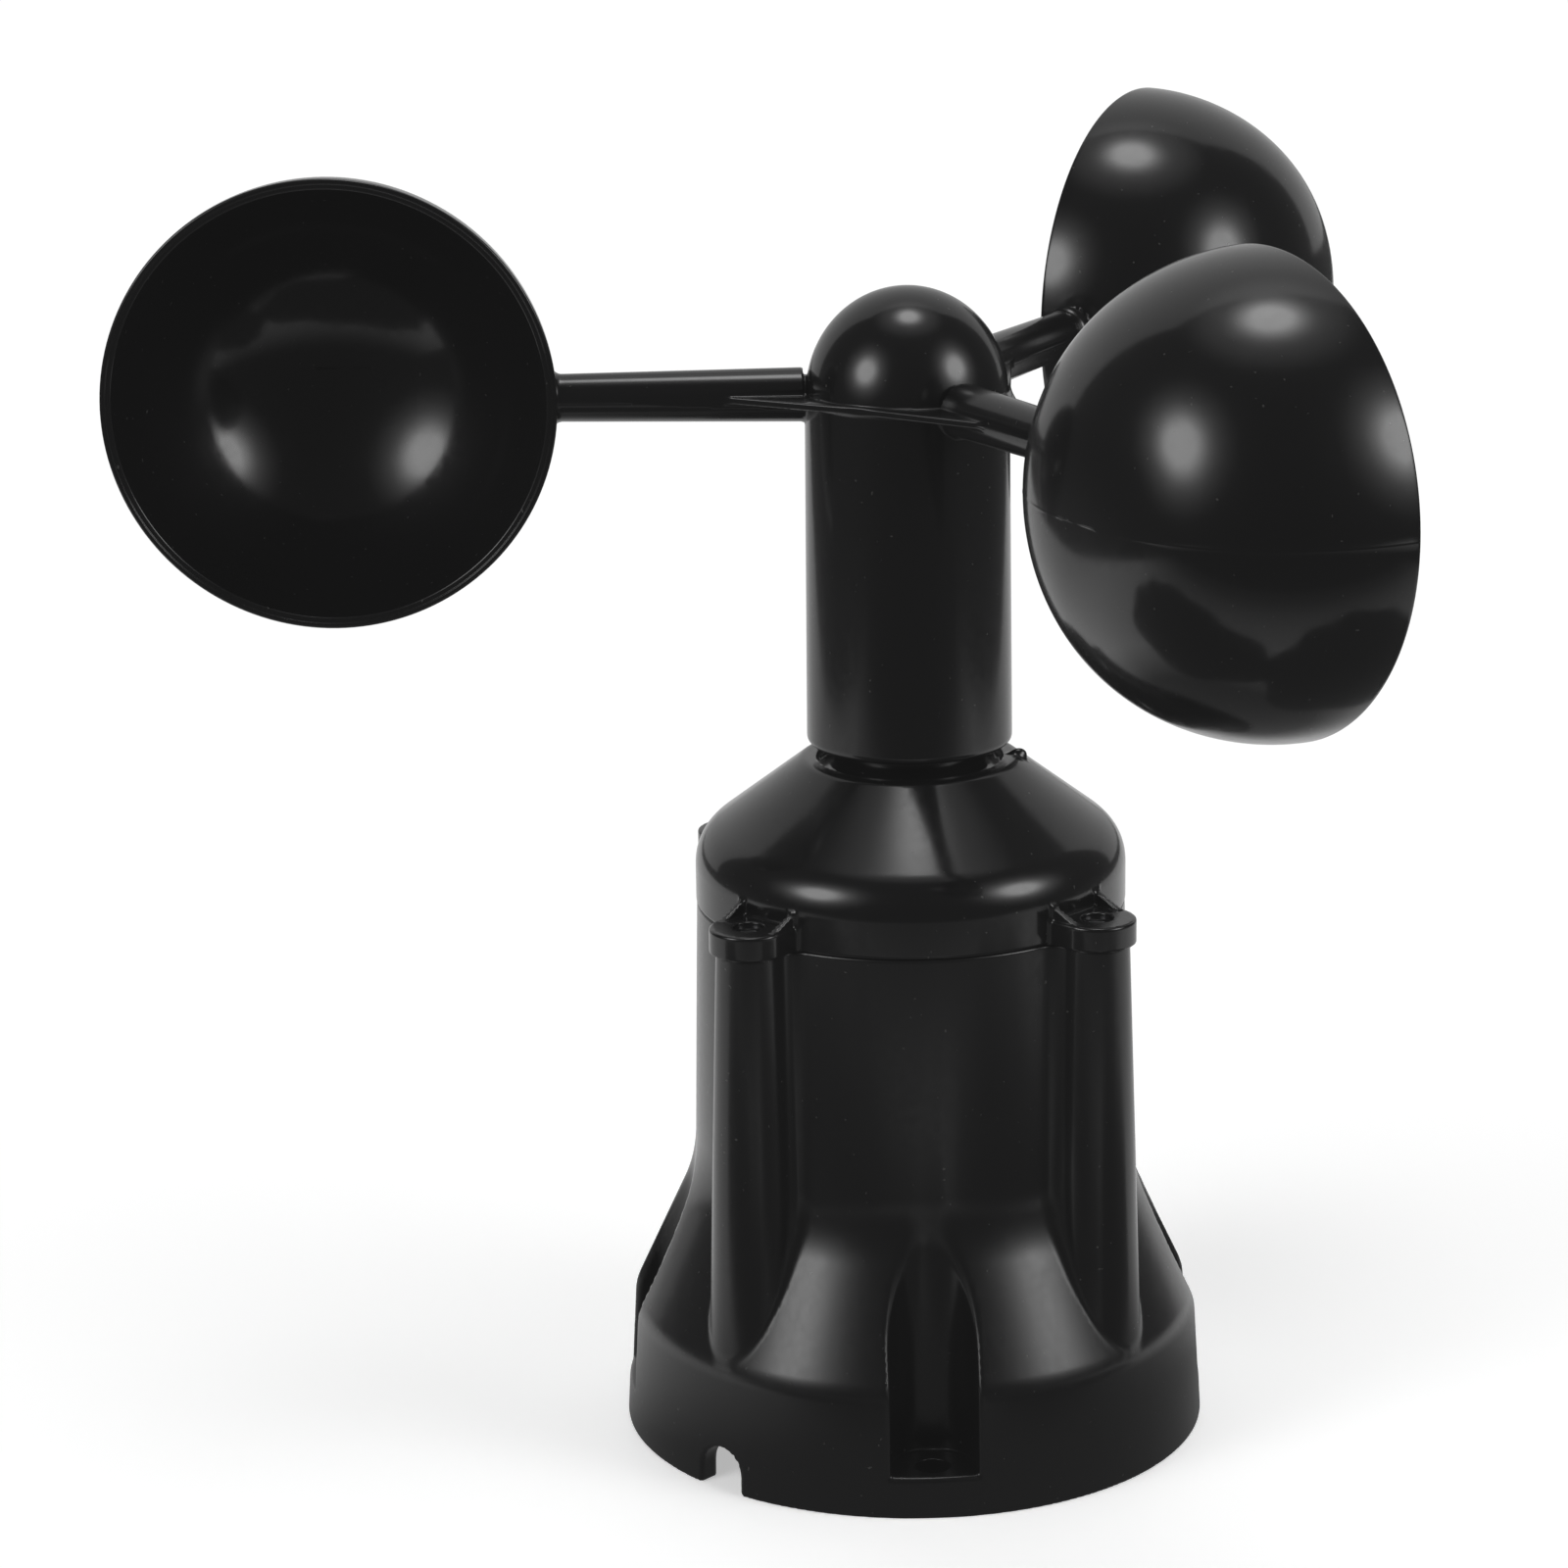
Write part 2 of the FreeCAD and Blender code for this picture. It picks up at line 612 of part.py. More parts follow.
def web():
    """Thin plate in the arm plane, from an arm's flanks to points of tangency on the hub."""
    tangent = math.acos(WEB_HUB_R / WEB_APEX)
    low_z = ARM_PLANE_Z - WEB_THICKNESS / 2.0
    touch_x = WEB_HUB_R * math.cos(tangent)
    touch_y = WEB_HUB_R * math.sin(tangent)
    corners = [
        (V(0, 0, low_z), 0.0),
        (V(touch_x, -touch_y, low_z), 0.0),
        (V(WEB_APEX, 0, low_z), 0.0),
        (V(touch_x, touch_y, low_z), 0.0),
    ]
    return Part.Face(outline(corners)).extrude(V(0, 0, WEB_THICKNESS))


def cup_curve(rim_r, depth):
    """Half-section of a cup from its rim to its pole, slightly blunter than a hemisphere."""
    points = []
    for step in range(CUP_CURVE_STEPS + 1):
        turn = math.pi / 2 * step / CUP_CURVE_STEPS
        radius = rim_r * max(math.cos(turn), 0.0) ** CUP_RADIUS_POWER
        if step == CUP_CURVE_STEPS:
            radius = 0.0
        behind = depth * math.sin(turn) ** CUP_DEPTH_POWER
        points.append(V(CUP_CENTRE + radius, CUP_RIM_AHEAD - behind, ARM_PLANE_Z))
    curve = Part.BSplineCurve()
    curve.interpolate(Points=points, InitialTangent=V(0, -1, 0), FinalTangent=V(-1, 0, 0))
    return curve.toShape(), points[0], points[-1]


def cup():
    """Hollow cup on the end of the arm on +X, opening towards +Y."""
    outer, outer_rim, outer_pole = cup_curve(CUP_RIM_R, CUP_DEPTH)
    inner, inner_rim, inner_pole = cup_curve(CUP_RIM_R - CUP_WALL, CUP_DEPTH - CUP_WALL)
    lip = Part.LineSegment(outer_rim, inner_rim).toShape()
    pole = Part.LineSegment(outer_pole, inner_pole).toShape()
    section = Part.Face(Part.Wire(Part.__sortEdges__([outer, lip, inner, pole])))
    return section.revolve(V(CUP_CENTRE, 0, ARM_PLANE_Z), V(0, 1, 0), 360)


def arm_and_cup():
    """One arm on +X with its flare and its cup."""
    rod = Part.makeCone(
        ARM_ROOT_RADIUS,
        ARM_TIP_RADIUS,
        ARM_END - ARM_START,
        V(ARM_START, 0, ARM_PLANE_Z),
        V(1, 0, 0),
    )
    return cup().fuse([rod, arm_flare()]).removeSplitter()


def cup_rotor():
    """The whole wind rotor is one moulding."""
    centre = hub().fuse(around(arm_root(), ARM_ANGLES) + around(web(), ARM_ANGLES))
    centre = centre.removeSplitter()
    centre = centre.cut(shaft_socket())
    return centre.fuse(around(arm_and_cup(), ARM_ANGLES)).removeSplitter()


# ---------------------------------------------------------------- shaft and bearings

def rotor_shaft():
    """Plain shaft with a clip groove below the lower bearing."""
    return lathe([
        (0, SHAFT_BOTTOM_Z),
        (SHAFT_R, SHAFT_BOTTOM_Z, SHAFT_CHAMFER),
        (SHAFT_R, CLIP_Z - FIT_GAP),
        (CLIP_GROOVE_R, CLIP_Z - FIT_GAP),
        (CLIP_GROOVE_R, CLIP_Z + CLIP_THICKNESS + FIT_GAP),
        (SHAFT_R, CLIP_Z + CLIP_THICKNESS + FIT_GAP),
        (SHAFT_R, SHAFT_TOP_Z, SHAFT_CHAMFER),
        (0, SHAFT_TOP_Z),
    ])


def race_groove(low_z):
    middle = V(0, 0, low_z + BEARING_WIDTH / 2.0)
    return Part.makeTorus(BEARING_PITCH_R, BALL_R + BALL_GAP, middle)


def bearing_outer_ring(low_z):
    """Outer ring with its ball groove and a step at each end for a shield."""
    high_z = low_z + BEARING_WIDTH
    step = SHIELD_INSET + SHIELD_THICKNESS
    body = lathe([
        (OUTER_RING_R, low_z + step),
        (SHIELD_OUTER_R, low_z + step),
        (SHIELD_OUTER_R, low_z),
        (BEARING_OUTER_R - FIT_GAP, low_z, SMALL_ROUND),
        (BEARING_OUTER_R - FIT_GAP, high_z, SMALL_ROUND),
        (SHIELD_OUTER_R, high_z),
        (SHIELD_OUTER_R, high_z - step),
        (OUTER_RING_R, high_z - step),
    ])
    return body.cut(race_groove(low_z))


def bearing_inner_ring(low_z):
    high_z = low_z + BEARING_WIDTH
    body = lathe([
        (BEARING_BORE_R, low_z, SMALL_ROUND),
        (INNER_RING_R, low_z),
        (INNER_RING_R, high_z),
        (BEARING_BORE_R, high_z, SMALL_ROUND),
    ])
    return body.cut(race_groove(low_z))


def bearing_balls(low_z):
    ball = Part.makeSphere(BALL_R, V(BEARING_PITCH_R, 0, low_z + BEARING_WIDTH / 2.0))
    return Part.makeCompound(around(ball, equal_angles(BALL_COUNT)))


def bearing_cage(low_z):
    """Ring with a pocket for each ball."""
    middle_z = low_z + BEARING_WIDTH / 2.0
    ring = tube(
        CAGE_INNER_R, CAGE_OUTER_R, middle_z - CAGE_HALF_HEIGHT, middle_z + CAGE_HALF_HEIGHT
    )
    length = CAGE_OUTER_R - CAGE_INNER_R + 2 * PAST
    start = V(CAGE_INNER_R - PAST, 0, middle_z)
    pocket = Part.makeCylinder(BALL_R + BALL_GAP, length, start, V(1, 0, 0))
    return ring.cut(around(pocket, equal_angles(BALL_COUNT)))


def bearing_shields(low_z):
    outer_r = SHIELD_OUTER_R - FIT_GAP
    first_z = low_z + SHIELD_INSET
    second_z = low_z + BEARING_WIDTH - SHIELD_INSET - SHIELD_THICKNESS
    plates = []
    for plate_z in (first_z, second_z):
        plates.append(tube(SHIELD_INNER_R, outer_r, plate_z, plate_z + SHIELD_THICKNESS))
    return Part.makeCompound(plates)


def bearing_spacer():
    """Sleeve that holds the two inner rings apart."""
    low_z = LOWER_BEARING_Z + BEARING_WIDTH
    return tube(BEARING_BORE_R, SPACER_R, low_z, UPPER_BEARING_Z)


def shaft_clip():
    """Open retaining clip in the shaft's groove."""
    ring = tube(CLIP_GROOVE_R + FIT_GAP, CLIP_OUTER_R, CLIP_Z, CLIP_Z + CLIP_THICKNESS)
    half_mouth = CLIP_MOUTH / 2.0
    mouth = box(
        (0, -half_mouth, CLIP_Z - PAST),
        (CLIP_OUTER_R + PAST, half_mouth, CLIP_Z + CLIP_THICKNESS + PAST),
    )
    return ring.cut(mouth)


def dust_slinger():
    """Rubber V-ring on the hub's stem: a sleeve with a thin lip over the upper bearing."""
    lip_root_z = SLINGER_Z + 2 * SLINGER_LIP
    sleeve_r = SLINGER_INNER_R + SLINGER_SLEEVE
    return lathe([
        (SLINGER_INNER_R, lip_root_z),
        (SLINGER_INNER_R + SLINGER_SLEEVE / 2.0, lip_root_z, SMALL_ROUND),
        (SLINGER_OUTER_R, SLINGER_Z - SLINGER_LIP, SMALL_ROUND / 2.0),
        (SLINGER_OUTER_R, SLINGER_Z + SLINGER_LIP, SMALL_ROUND / 2.0),
        (sleeve_r, lip_root_z + 3 * SLINGER_LIP, SMALL_ROUND),
        (sleeve_r, SLINGER_Z + SLINGER_HEIGHT, SMALL_ROUND),
        (SLINGER_INNER_R, SLINGER_Z + SLINGER_HEIGHT),
    ])


def magnet_carrier():
    """Disc on the shaft's foot with magnet sockets below and a set-screw hole in its hub."""
    disc_top_z = CARRIER_BOTTOM_Z + CARRIER_DISC_HEIGHT
    bore_foot_z = SHAFT_BOTTOM_Z - MAGNET_INSET
    body = lathe([
        (BEARING_BORE_R, bore_foot_z),
        (0, bore_foot_z),
        (0, CARRIER_BOTTOM_Z),
        (CARRIER_R, CARRIER_BOTTOM_Z, MEDIUM_ROUND),
        (CARRIER_R, disc_top_z, MEDIUM_ROUND),
        (CARRIER_HUB_R, disc_top_z, MEDIUM_ROUND),
        (CARRIER_HUB_R, CARRIER_TOP_Z, MEDIUM_ROUND),
        (BEARING_BORE_R, CARRIER_TOP_Z),
    ])
    socket_top_z = CARRIER_BOTTOM_Z + MAGNET_HEIGHT + SCREW_GAP
    socket = disc(MAGNET_R + SCREW_GAP, CARRIER_BOTTOM_Z - PAST, socket_top_z, x=MAGNET_ORBIT_R)
    hole_r = SET_SCREW_R + SCREW_GAP
    screw_hole = Part.makeCylinder(hole_r, CARRIER_HUB_R, V(0, 0, SET_SCREW_Z), V(0, 1, 0))
    bore = disc(BEARING_BORE_R, SET_SCREW_Z - 2 * hole_r, SET_SCREW_Z + 2 * hole_r)
    screw_hole = screw_hole.cut(bore)
    return body.cut(around(socket, equal_angles(MAGNET_COUNT)) + [screw_hole])


def sensor_magnets():
    low_z = CARRIER_BOTTOM_Z + MAGNET_INSET
    magnet = disc(MAGNET_R, low_z, CARRIER_BOTTOM_Z + MAGNET_HEIGHT, x=MAGNET_ORBIT_R)
    return Part.makeCompound(around(magnet, equal_angles(MAGNET_COUNT)))


def carrier_set_screw():
    """Headless screw with a hexagon socket, pointing at the shaft."""
    length = CARRIER_HUB_R - SHAFT_R - SET_SCREW_INSET
    start_y = SHAFT_R + SCREW_GAP
    body = Part.makeCylinder(SET_SCREW_R, length, V(0, start_y, SET_SCREW_Z), V(0, 1, 0))
    socket = hexagon(SET_SCREW_KEY, 0, SET_SCREW_KEY_DEPTH)
    socket.rotate(CENTRE, V(1, 0, 0), -90)
    socket.translate(V(0, start_y + length - SET_SCREW_KEY_DEPTH, SET_SCREW_Z))
    return body.cut(socket)


# ---------------------------------------------------------------- electronics

def sensor_board():
    board = disc(BOARD_R, BOARD_BOTTOM_Z, BOARD_TOP_Z - FIT_GAP)
    hole = disc(BOARD_HOLE_R, BOARD_BOTTOM_Z - PAST, BOARD_TOP_Z + PAST, x=BOARD_POST_ORBIT_R)
    return board.cut(around(hole, BOARD_POST_ANGLES))


def hall_sensor():
    """Small moulded sensor under the magnets' path, with three legs to the board."""
    half_width = SENSOR_WIDTH / 2.0
    low_z = BOARD_TOP_Z + SENSOR_LOW
    body = box(
        (MAGNET_ORBIT_R - half_width, -SENSOR_LENGTH / 2.0, low_z),
        (MAGNET_ORBIT_R + half_width, SENSOR_LENGTH / 2.0, low_z + SENSOR_HEIGHT),
    )
    leg_x = MAGNET_ORBIT_R + half_width
    legs = []
    for offset in (-SENSOR_LEG_PITCH, 0.0, SENSOR_LEG_PITCH):
        legs.append(box(
            (leg_x - SENSOR_LOW, offset - SENSOR_LEG_WIDTH / 2.0, BOARD_TOP_Z),
            (leg_x + SENSOR_LEG_LENGTH, offset + SENSOR_LEG_WIDTH / 2.0, low_z + SENSOR_LOW),
        ))
    return body.fuse(legs).removeSplitter()


def board_chips():
    """Processor, line driver, regulator and two protection diodes under the board."""
    chips = []
    for (low_x, low_y), (size_x, size_y), height in CHIP_SIZES:
        chips.append(box(
            (low_x, low_y, BOARD_BOTTOM_Z - height),
            (low_x + size_x, low_y + size_y, BOARD_BOTTOM_Z),
        ))
    return Part.makeCompound(chips)


def board_capacitors():
    """Two cans under the board, each with a rolled groove near its foot."""
    groove_r = CAN_R + TOUCH * CAN_GROOVE_R
    cans = []
    for x, y in CAN_PLACES:
        can = disc(CAN_R, BOARD_BOTTOM_Z - CAN_HEIGHT, BOARD_BOTTOM_Z, x=x, y=y)
        middle = V(x, y, BOARD_BOTTOM_Z - CAN_GROOVE_Z)
        cans.append(can.cut(Part.makeTorus(groove_r, CAN_GROOVE_R, middle)))
    return Part.makeCompound(cans)


def terminal_places():
    middle = (TERMINAL_COUNT - 1) / 2.0
    return [(index - middle) * TERMINAL_PITCH for index in range(TERMINAL_COUNT)]


def terminal_block():
    """Wire terminals under the board: wires enter from the front, screws from below."""
    half_width = TERMINAL_COUNT * TERMINAL_PITCH / 2.0 + TERMINAL_WALL
    front_y = TERMINAL_Y - TERMINAL_DEPTH / 2.0
    back_y = TERMINAL_Y + TERMINAL_DEPTH / 2.0
    low_z = BOARD_BOTTOM_Z - TERMINAL_HEIGHT
    well_r = TERMINAL_SCREW_R + SCREW_GAP
    well_top_z = low_z + TERMINAL_SCREW_LENGTH + 2 * TERMINAL_INSET
    half_way = TERMINAL_SCREW_R
    block = box((-half_width, front_y, low_z), (half_width, back_y, BOARD_BOTTOM_Z))
    holes = []
    for x in terminal_places():
        holes.append(disc(well_r, low_z - PAST, well_top_z, x=x, y=TERMINAL_Y))
        holes.append(box(
            (x - half_way, front_y - PAST, low_z + WIRE_WAY_LOW),
            (x + half_way, back_y - 2 * PAST, low_z + WIRE_WAY_HIGH),
        ))
    return block.cut(holes)


def terminal_screws():
    low_z = BOARD_BOTTOM_Z - TERMINAL_HEIGHT + TERMINAL_INSET
    half_slot = TERMINAL_SLOT / 2.0
    screws = []
    for x in terminal_places():
        body = disc(TERMINAL_SCREW_R, low_z, low_z + TERMINAL_SCREW_LENGTH, x=x, y=TERMINAL_Y)
        slot = box(
            (x - 2 * TERMINAL_SCREW_R, TERMINAL_Y - half_slot, low_z - PAST),
            (x + 2 * TERMINAL_SCREW_R, TERMINAL_Y + half_slot, low_z + TERMINAL_SLOT_DEPTH),
        )
        screws.append(body.cut(slot))
    return Part.makeCompound(screws)


# ---------------------------------------------------------------- screws

def small_screw(length):
    """Pan-head screw for plastic, head seat at z = 0, point down."""
    shank = lathe([
        (0, SCREW_CROSS_WIDTH),
        (0, -length),
        (SMALL_ROUND, -length),
        (SCREW_SHANK_R, -length + SCREW_TIP),
        (SCREW_SHANK_R, SCREW_CROSS_WIDTH),
    ])
    head = lathe([
        (0, 0),
        (SCREW_HEAD_R, 0),
        (SCREW_HEAD_R, SCREW_HEAD_HEIGHT, MEDIUM_ROUND),
        (0, SCREW_HEAD_HEIGHT),
    ])
    half_length = SCREW_CROSS_LENGTH / 2.0
    half_width = SCREW_CROSS_WIDTH / 2.0
    slot = box(
        (-half_length, -half_width, SCREW_HEAD_HEIGHT - SCREW_CROSS_DEPTH),
        (half_length, half_width, SCREW_HEAD_HEIGHT + PAST),
    )
    return head.fuse(shank).removeSplitter().cut([slot, turned(slot, 90.0)])


def housing_screws():
    screw = small_screw(HOUSING_SCREW_LENGTH)
    screw.translate(V(EAR_CENTRE_R, 0, EAR_COUNTERBORE_Z + FIT_GAP))
    return Part.makeCompound(around(screw, EAR_ANGLES))


def board_screws():
    screw = small_screw(BOARD_SCREW_LENGTH)
    screw.rotate(CENTRE, V(1, 0, 0), 180)
    screw.translate(V(BOARD_POST_ORBIT_R, 0, BOARD_BOTTOM_Z - FIT_GAP))
    return Part.makeCompound(around(screw, BOARD_POST_ANGLES))


# ---------------------------------------------------------------- cable gland

def gland_body():
    """Threaded stem through the chamber floor, hexagon below it and a thread for the nut."""
    hex_top_z = FLOOR_BOTTOM_Z - GLAND_WASHER_HEIGHT
    stem = disc(GLAND_STEM_R, hex_top_z - PAST, GLAND_STEM_TOP_Z)
    collar = hexagon(GLAND_FLATS, GLAND_HEX_BOTTOM_Z, hex_top_z)
    throat = disc(GLAND_STEM_R, GLAND_NUT_HEX_Z + PAST, GLAND_HEX_BOTTOM_Z + PAST)
    bore = disc(GLAND_BORE_R, GLAND_NUT_HEX_Z, GLAND_STEM_TOP_Z + PAST)
    return stem.fuse([collar, throat]).removeSplitter().cut(bore)


def gland_washer():
    low_z = FLOOR_BOTTOM_Z - GLAND_WASHER_HEIGHT
    return tube(GLAND_STEM_R + SCREW_GAP, GLAND_WASHER_R, low_z, FLOOR_BOTTOM_Z)


def gland_lock_nut():
    high_z = FLOOR_TOP_Z + LOCK_NUT_HEIGHT
    nut = hexagon(GLAND_FLATS, FLOOR_TOP_Z, high_z)
    return nut.cut(disc(GLAND_STEM_R + FIT_GAP, FLOOR_TOP_Z - PAST, high_z + PAST))


def gland_dome_nut():
    """Clamping nut: hexagon with a rounded nose that presses the seal on the cable."""
    grip = hexagon(GLAND_FLATS, GLAND_NUT_HEX_Z, GLAND_HEX_BOTTOM_Z - FIT_GAP)
    nose = lathe([
        (0, GLAND_NUT_BOTTOM_Z),
        (GLAND_NUT_NOSE_R, GLAND_NUT_BOTTOM_Z, GLAND_NOSE_ROUND),
        (GLAND_FLATS / 2.0, GLAND_NUT_HEX_Z, GLAND_NOSE_ROUND / 2.0),
        (GLAND_FLATS / 2.0, GLAND_NUT_HEX_Z + PAST),
        (0, GLAND_NUT_HEX_Z + PAST),
    ])
    thread = disc(GLAND_STEM_R + FIT_GAP, GLAND_NUT_HEX_Z, GLAND_HEX_BOTTOM_Z + PAST)
    seat = disc(GLAND_BORE_R + FIT_GAP, GLAND_SEAL_BOTTOM_Z, GLAND_NUT_HEX_Z + PAST)
    mouth = disc(GLAND_MOUTH_R, GLAND_NUT_BOTTOM_Z - PAST, GLAND_NUT_HEX_Z)
    return grip.fuse(nose).removeSplitter().cut([thread, seat, mouth])


def gland_seal():
    outer_r = GLAND_BORE_R - FIT_GAP
    return tube(GLAND_SEAL_BORE_R, outer_r, GLAND_SEAL_BOTTOM_Z + FIT_GAP, GLAND_SEAL_TOP_Z)


def nodes():
    """Every piece of the object, by name."""
    pieces = {
        "lower_housing": lower_housing(),
        "upper_housing": upper_housing(),
        "housing_seal": housing_seal(),
        "housing_screws": housing_screws(),
        "cup_rotor": cup_rotor(),
        "rotor_shaft": rotor_shaft(),
        "bearing_spacer": bearing_spacer(),
        "shaft_clip": shaft_clip(),
        "dust_slinger": dust_slinger(),
        "magnet_carrier": magnet_carrier(),
        "sensor_magnets": sensor_magnets(),
        "carrier_set_screw": carrier_set_screw(),
        "sensor_board": sensor_board(),
        "hall_sensor": hall_sensor(),
        "board_chips": board_chips(),
        "board_capacitors": board_capacitors(),
        "terminal_block": terminal_block(),
        "terminal_screws": terminal_screws(),
        "board_screws": board_screws(),
        "gland_body": gland_body(),
        "gland_washer": gland_washer(),
        "gland_lock_nut": gland_lock_nut(),
        "gland_dome_nut": gland_dome_nut(),
        "gland_seal": gland_seal(),
    }
    for name, low_z in (("upper_bearing", UPPER_BEARING_Z), ("lower_bearing", LOWER_BEARING_Z)):
        pieces[name + "_outer_ring"] = bearing_outer_ring(low_z)
        pieces[name + "_inner_ring"] = bearing_inner_ring(low_z)
        pieces[name + "_balls"] = bearing_balls(low_z)
        pieces[name + "_cage"] = bearing_cage(low_z)
        pieces[name + "_shields"] = bearing_shields(low_z)
    return pieces


os.makedirs("parts", exist_ok=True)
for node_name, shape in nodes().items():
    bounds = shape.BoundBox
    print(f"{node_name:28s} valid {shape.isValid()} solids {len(shape.Solids)} "
          f"volume {shape.Volume:10.1f} z {bounds.ZMin:7.2f} to {bounds.ZMax:7.2f}")
    shape.exportStep(f"parts/{node_name}.step")
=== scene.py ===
import itertools
import json
import math

import bpy
import numpy as np
from mathutils import Matrix, Vector


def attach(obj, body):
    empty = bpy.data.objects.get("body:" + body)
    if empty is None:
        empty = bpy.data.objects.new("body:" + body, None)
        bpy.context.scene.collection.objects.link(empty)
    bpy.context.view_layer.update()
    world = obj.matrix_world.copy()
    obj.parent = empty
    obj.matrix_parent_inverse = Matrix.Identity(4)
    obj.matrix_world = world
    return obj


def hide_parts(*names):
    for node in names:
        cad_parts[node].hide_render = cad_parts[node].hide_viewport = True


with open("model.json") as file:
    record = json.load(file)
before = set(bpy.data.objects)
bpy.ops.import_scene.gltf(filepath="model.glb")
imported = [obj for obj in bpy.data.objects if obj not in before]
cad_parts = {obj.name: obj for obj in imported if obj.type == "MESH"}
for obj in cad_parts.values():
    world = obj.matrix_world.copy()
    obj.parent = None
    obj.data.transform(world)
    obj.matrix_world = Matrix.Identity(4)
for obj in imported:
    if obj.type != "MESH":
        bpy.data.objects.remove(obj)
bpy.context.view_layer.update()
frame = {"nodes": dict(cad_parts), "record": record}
NODES = frame["nodes"]

MM = 0.001

# ---------------------------------------------------------------- the object's sizes, in millimetres
#
# Points of an outline, counterbores and sockets are (radius, height). Angles are in degrees.

SPLIT_Z = 74.4
BASE_R = 40.0
RING_TOP = (39.05, 17.04)
RING_TOP_FILLET = 8.0
FLARE_TOP = (29.98, 36.64)
FLARE_TOP_FILLET = 22.0
BODY_TOP = (29.1, SPLIT_Z)
EDGE_ROUND = 0.35
CHAMBER_R = 27.0
FLOOR_BOTTOM_Z = 30.0
FLOOR_TOP_Z = 33.0
GLAND_HOLE_R = 6.15
CAVITY = ((36.9, 0.0), (36.6, 15.0), (29.6, 30.0))

POCKET_CENTRE_R = 35.9
POCKET_HALF_WIDTH = 5.75
POCKET_FLOOR_Z = 5.75
POCKET_WALL = 2.5
POCKET_EDGE_ROUND = 0.8
BASE_BOLT_R = 35.5
BASE_BOLT_HOLE_R = 2.25
NOTCH_HALF_WIDTH = 3.5
NOTCH_HEIGHT = 6.0
NOTCH_PAST_WALL = 4.0

EAR_CENTRE_R = 32.5
BOSS_TOP_R = 4.4
BOSS_FOOT_R = 6.15
BOSS_FOOT_Z = 17.5
BOSS_ROOT_ROUND = 2.0
BOSS_BLEND_RISE = 12.0
PILOT_R = 1.1
PILOT_FOOT_Z = 60.0

CAP_R = 29.2
CAP_SHOULDER = (29.2, 83.04)
CAP_SHOULDER_FILLET = 7.0
CAP_CONE_TOP = (14.5, 94.28)
CAP_WALL = 2.5
CAP_LAND_INNER_R = 12.6
CAP_RECESS_Z = 92.7
CAP_ROOF_UNDER_Z = 90.6
HOLLOW_ROUND = 3.0
HOLLOW_TURN = 50.0
ROOF_ROUND = 1.0
ROOF_TURN = 40.0
SPIGOT_INNER_R = 25.0
SPIGOT_OUTER_R = 26.9
SPIGOT_FOOT_Z = 70.0
SEAL_GROOVE = (25.85, 71.4, 73.2)
BURR_PLACE = (CAP_CONE_TOP[0] + 0.2, -1.0, CAP_CONE_TOP[1] - 0.2)
BURR_HALF_SIZES = (1.1, 0.7, 0.9)
BURR_SIZE = 0.8
TOWER_R = 10.2
TOWER_FOOT = (10.8, 88.5)
TOWER_TOP_Z = 131.0
SEAT_R = 8.0
STEP_R = 6.9
LOWER_SEAT_TOP_Z = 105.0
UPPER_SEAT_FOOT_Z = 124.0
EAR_R = 5.25
EAR_TOP_Z = 77.7
EAR_COUNTERBORE = (2.075, 75.4)
EAR_HOLE_R = 1.2
EAR_BITE = 0.6
SMALL_FILLET = 0.5
RIB_OFFSET = 4.45
RIB_THICKNESS = 1.0
RIB_START_R = 33.0
RIB_HEIGHT = 2.1
POST_ORBIT_R = 19.0
POST_R = 2.75
POST_FOOT_Z = 76.6
POST_PILOT_TOP_Z = 83.6
POST_ANGLES = (90.0, 210.0, 330.0)

ARM_PLANE_Z = 143.95
ARM_ANGLES = (57.73, 177.73, 297.73)
HUB_BOTTOM = (13.85, 96.4)
HUB_TOP_R = 13.6
HUB_EDGE_ROUND = 0.9
HUB_BORE_R = 11.65
HUB_ROOF_Z = 133.0
HUB_ROOF_ROUND = 1.5
HUB_STEM_R = 4.0
HUB_STEM_Z = 129.0
DOME_HEIGHT = 14.25
DOME_STEP = 0.15
SHAFT_SOCKET = (2.5, 150.0)
ARM_ROOT_RADIUS = 3.6
ARM_TIP_RADIUS = 3.15
ARM_START = 13.8
ARM_END = 47.4
ARM_FLARE_RADIUS = 1.3
ARM_INTO_CUP = 0.8
ARM_BEHIND_RIM = 0.3
FLASH_HEIGHT = 0.07
FLASH_WIDTH = 0.12
NECK_RADIUS = 2.5
NECK_START = 8.0
WEB_APEX = 30.5
WEB_HUB_R = 13.7
WEB_THICKNESS = 0.9
CUP_CENTRE = 76.36
CUP_RIM_R = 30.15
CUP_DEPTH = 27.8
CUP_RIM_AHEAD = 3.6
CUP_WALL = 1.5
CUP_OUTER_POWERS = (0.8, 1.07)
CUP_INNER_POWERS = (0.98, 1.0)
CUP_LIP_ROUND = 0.3
CUP_LIP_STEP = 0.25
CUP_LIP_STEP_R = 29.45
CUP_LIP_GAP = 0.1
CUP_SEAM_HEIGHT = 0.07
CUP_SEAM_HALF_WIDTH = 0.16
CUP_RINGS = 56
CUP_COLUMNS = 168

# How far joined solids run into each other.
OVERLAP = 1.0

# Widths of the small blends along edges that have no fillet of their own.
FINE_BLEND = 0.2
RIM_BLEND = 0.25
FOOT_BLEND = 0.3
LIMB_BLEND = 0.35
SOFT_BLEND = 0.4
WIDE_BLEND = 0.5
STEM_BLEND = 0.6
BURR_BLEND = 0.8

